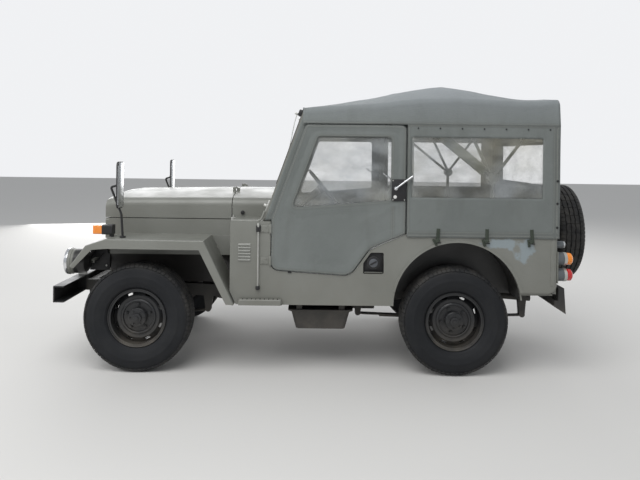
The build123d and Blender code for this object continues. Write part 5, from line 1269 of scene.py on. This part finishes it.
# Windscreen: flat glass held in a rubber channel, with an electric wiper on each side at the
# header and the two thumbscrew clamps that hold the frame up at its foot.
screen_up = Vector((-0.3342, 0.0, 0.9425))
screen_out = Vector((0.9425, 0.0, 0.3342))
moulded = (black_part, "black_plastic")
seal_rubber = (rubber_part, "tyre")


def on_screen(along, y, out):
    """Place on the windscreen: up its slope from the foot, sideways, and out of its front."""
    return Vector((0.494, y, 1.070)) + screen_up * along + screen_out * out


seal_path = []
for corner_y, corner_s, first in ((1, 1, 0.0), (-1, 1, 90.0), (-1, -1, 180.0), (1, -1, 270.0)):
    for part in range(7):
        angle = radians(first + 15.0 * part)
        along = 0.527 + corner_s * 0.219 + 0.035 * sin(angle)
        seal_path.append(on_screen(along, corner_y * 0.686 + 0.035 * cos(angle), 0.001))
rod("screen_seal", seal_path + seal_path[:1], 0.0065, seal_rubber)
cowl_half = max(point.co.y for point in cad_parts["bonnet"].data.vertices)
seal_line = [(cowl_half + 0.008, 1.090), (cowl_half + 0.008, 1.185)]
for step in range(41):
    seal_y = (cowl_half - 0.012) * (1 - step / 20)
    met, spot, _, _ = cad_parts["cowl"].ray_cast((0.412, seal_y, 1.5), (0.0, 0.0, -1.0))
    if met:
        seal_line.append((seal_y, spot.z + 0.006))
seal_line += [(-cowl_half - 0.008, 1.185), (-cowl_half - 0.008, 1.090)]
rod("cowl_seal", [(0.486 - 0.3546 * (z - 1.070), y, z) for y, z in seal_line], 0.013, seal_rubber)
slope = (0.0, -0.3408, 0.0)
for hand, side in sides_table:
    wiper_y = side * 0.40
    plate(f"wiper_motor_{hand}", on_screen(0.815, wiper_y, 0.024), (0.046, 0.090, 0.050), 0.008,
          moulded, turn=slope)
    boss(f"wiper_spindle_{hand}", on_screen(0.800, wiper_y + 0.02, 0.045), 0.008, 0.026,
         zinc, axle=screen_out)
    arm_end = on_screen(0.520, wiper_y + 0.11, 0.014)
    arm = [on_screen(0.800, wiper_y + 0.02, 0.054), on_screen(0.74, wiper_y + 0.04, 0.050), arm_end]
    rod(f"wiper_arm_{hand}", arm, 0.0032, zinc)
    blade_ends = on_screen(0.640, wiper_y + 0.035, 0.008), on_screen(0.400, wiper_y + 0.185, 0.008)
    rod(f"wiper_blade_{hand}", [blade_ends[0], arm_end, blade_ends[1]], 0.0042, seal_rubber)
    plate(f"screen_clamp_{hand}", on_screen(0.105, side * 0.735, 0.006), (0.012, 0.030, 0.085),
          0.003, zinc, turn=slope)
    boss(f"screen_clamp_nut_{hand}", on_screen(0.105, side * 0.735, 0.012), 0.012, 0.022,
         zinc, axle=screen_out)
screen_glass, _, _ = new_finish(
    "screen_glass", Base_Color=(0.75, 0.82, 0.80), Roughness=0.03, Alpha=0.16
)
finish_nodes(screen_glass, "windscreen_glass")

# Instrument panel: black dials with chromed bezels in the middle, switches below them, a lidded
# locker and a grab rail on the passenger's side. The wheel's rim is moulded black rubber.
panel_x = 0.4005
dial_black = painted(
    "dial_face", (0.012, 0.012, 0.012), (0.016, 0.016, 0.016), (0.02, 0.02, 0.02), 0.35
)
dial_face = (dial_black, "black_plastic")
needle_white = (white_part, "black_plastic")
dial_table = (
    # sideways, height, radius
    (0.0, 1.085, 0.052), (-0.105, 1.098, 0.029), (0.105, 1.098, 0.029), (-0.105, 1.030, 0.024),
    (0.105, 1.030, 0.024),
)
for number, (y, z, radius) in enumerate(dial_table, 1):
    boss(f"dial_bezel_{number}", (panel_x + 0.002, y, z), radius + 0.004, 0.012, bright,
         axle=aft, sides=48)
    boss(f"dial_{number}", (panel_x - 0.004, y, z), radius - 0.001, 0.007, dial_face,
         axle=aft, sides=48)
    needle = [(panel_x - 0.0125, y, z), (panel_x - 0.0125, y + 0.5 * radius, z + 0.6 * radius)]
    rod(f"dial_needle_{number}", needle, 0.0012, needle_white)
for index in range(6):
    boss(f"panel_knob_{index + 1}", (panel_x + 0.002, -0.15 + 0.06 * index, 0.990), 0.010, 0.026,
         moulded, axle=aft)
plate("locker_lid", (panel_x, 0.40, 1.060), (0.008, 0.300, 0.130), 0.003, green)
boss("locker_catch", (panel_x - 0.003, 0.40, 1.105), 0.009, 0.012, bright, axle=aft)
rail = ((0.404, 0.250), (0.360, 0.262), (0.352, 0.285), (0.352, 0.555), (0.360, 0.578),
        (0.404, 0.590))
rod("grab_rail", [(x, y, 1.165) for x, y in rail], 0.009, moulded)
trim_black = painted("trim_black", (0.015, 0.015, 0.015), (0.02, 0.02, 0.02), ROAD_DUST, 0.5)
finish_nodes(trim_black, "steering_wheel")

# Controls on the floor: the long gear lever and two short transfer levers come up through
# rubber boots on the tunnel, the hand brake stands beside them, and three pedals hang down.
lever_table = [
    # name, foot, bend, top, knob radius
    ("gear_lever", (0.080, 0.0), (0.020, -0.010, 0.930), (-0.045, -0.030, 1.120), 0.021),
    ("transfer_lever_1", (-0.040, -0.070), (-0.050, -0.072, 0.880), (-0.075, -0.078, 0.985), 0.015),
    ("transfer_lever_2", (-0.040, -0.125), (-0.050, -0.126, 0.880), (-0.082, -0.130, 0.965), 0.015),
]
for lever_name, foot, bend, top, knob_r in lever_table:
    rod(lever_name, [(*foot, 0.791), bend, top], 0.0065, moulded)
    boss(f"{lever_name}_boot", (*foot, 0.789), knob_r * 1.7, 0.034, seal_rubber, axle=up, edge=0.010)
    added("uv_sphere", segments=24, ring_count=14, radius=knob_r, location=top)
    bpy.ops.object.mode_set(mode="EDIT")
    bpy.ops.mesh.select_all(action="SELECT")
    bpy.ops.transform.resize(value=(1.0, 1.0, 1.18), center_override=top)
    bpy.ops.object.mode_set(mode="OBJECT")
    bpy.ops.object.shade_smooth()
    settled(f"{lever_name}_knob", (trim_black, "black_plastic"))
brake = ((0.10, 0.788), (0.02, 0.870), (-0.12, 0.985), (-0.155, 1.000))
rod("hand_brake", [(x, 0.125, z) for x, z in brake], 0.0085, moulded)
for number, (y, breadth) in enumerate(((-0.285, 0.070), (-0.400, 0.075), (-0.510, 0.045)), 1):
    arm = [(0.652, y, 0.985), (0.590, y, 0.860), (0.560, y, 0.700)]
    rod(f"pedal_arm_{number}", arm, 0.0075, moulded)
    plate(f"pedal_pad_{number}", (0.553, y, 0.690), (0.014, breadth, 0.075), 0.005, seal_rubber,
          turn=(0.0, 0.45, 0.0))

# Tailgate fittings: strap hinges and their bolts on the right, a slam handle and its keeper on the
# left, and two webbing straps that hold the rear curtain down.
gate_x = -1.5620
for index, hinge_z in enumerate((0.680, 0.900)):
    for mark, bolt_y in (("a", -0.412), ("b", -0.392)):
        for number, rise in ((index + 1, 0.010), (index + 3, -0.010)):
            boss(f"gate_bolt_{number}_{mark}", (gate_x - 0.0125, bolt_y, hinge_z + rise), 0.0055,
                 0.008, zinc, "tailgate", aft, sides=6)
plate("gate_lock_plate", (gate_x - 0.001, 0.395, 0.880), (0.006, 0.060, 0.080), 0.0015, moulded,
      "tailgate")
boss("gate_lock_spindle", (gate_x - 0.003, 0.395, 0.885), 0.011, 0.028, zinc, "tailgate", aft)
handle = ((-0.028, 0.395, 0.885), (-0.034, 0.370, 0.883), (-0.036, 0.290, 0.872))
rod("gate_handle", [(gate_x + x, y, z) for x, y, z in handle], 0.0065, zinc, "tailgate")
both(plate, "rear_strap_{}", (-1.5655, 0.560, 1.020), (0.003, 0.026, 0.190), 0.001, webbing)
both(plate, "rear_buckle_{}", (-1.5670, 0.560, 0.985), (0.004, 0.036, 0.024), 0.001, moulded)
both(plate, "rear_loop_{}", (-1.5600, 0.560, 0.920), (0.012, 0.044, 0.016), 0.002, moulded)

# Front stays: a pressed plate each side, bolted to the grille's edge and the wing's slope, made black as
# painted shade: it fills the inner wing behind the headlamp, which lies in shadow
both(plate, "wing_stay_{}", (1.7175, 0.5025, 0.760), (0.145, 0.003, 0.190), 0.001,
     (black_part, "chassis_black"))
for level, z in (("low", 0.700), ("high", 0.850)):
    both(boss, f"wing_stay_bolt_{{}}_{level}", (1.668, 0.5035, z), 0.008, 0.007, zinc, sides=6)

# Bow sleeve: folded webbing laced along the front hoop's left arm, seen through the curtain
plate("bow_sleeve", (-0.880, 0.742, 1.570), (0.440, 0.027, 0.070), 0.012, webbing,
      turn=(0.0, -0.677, 0.0))
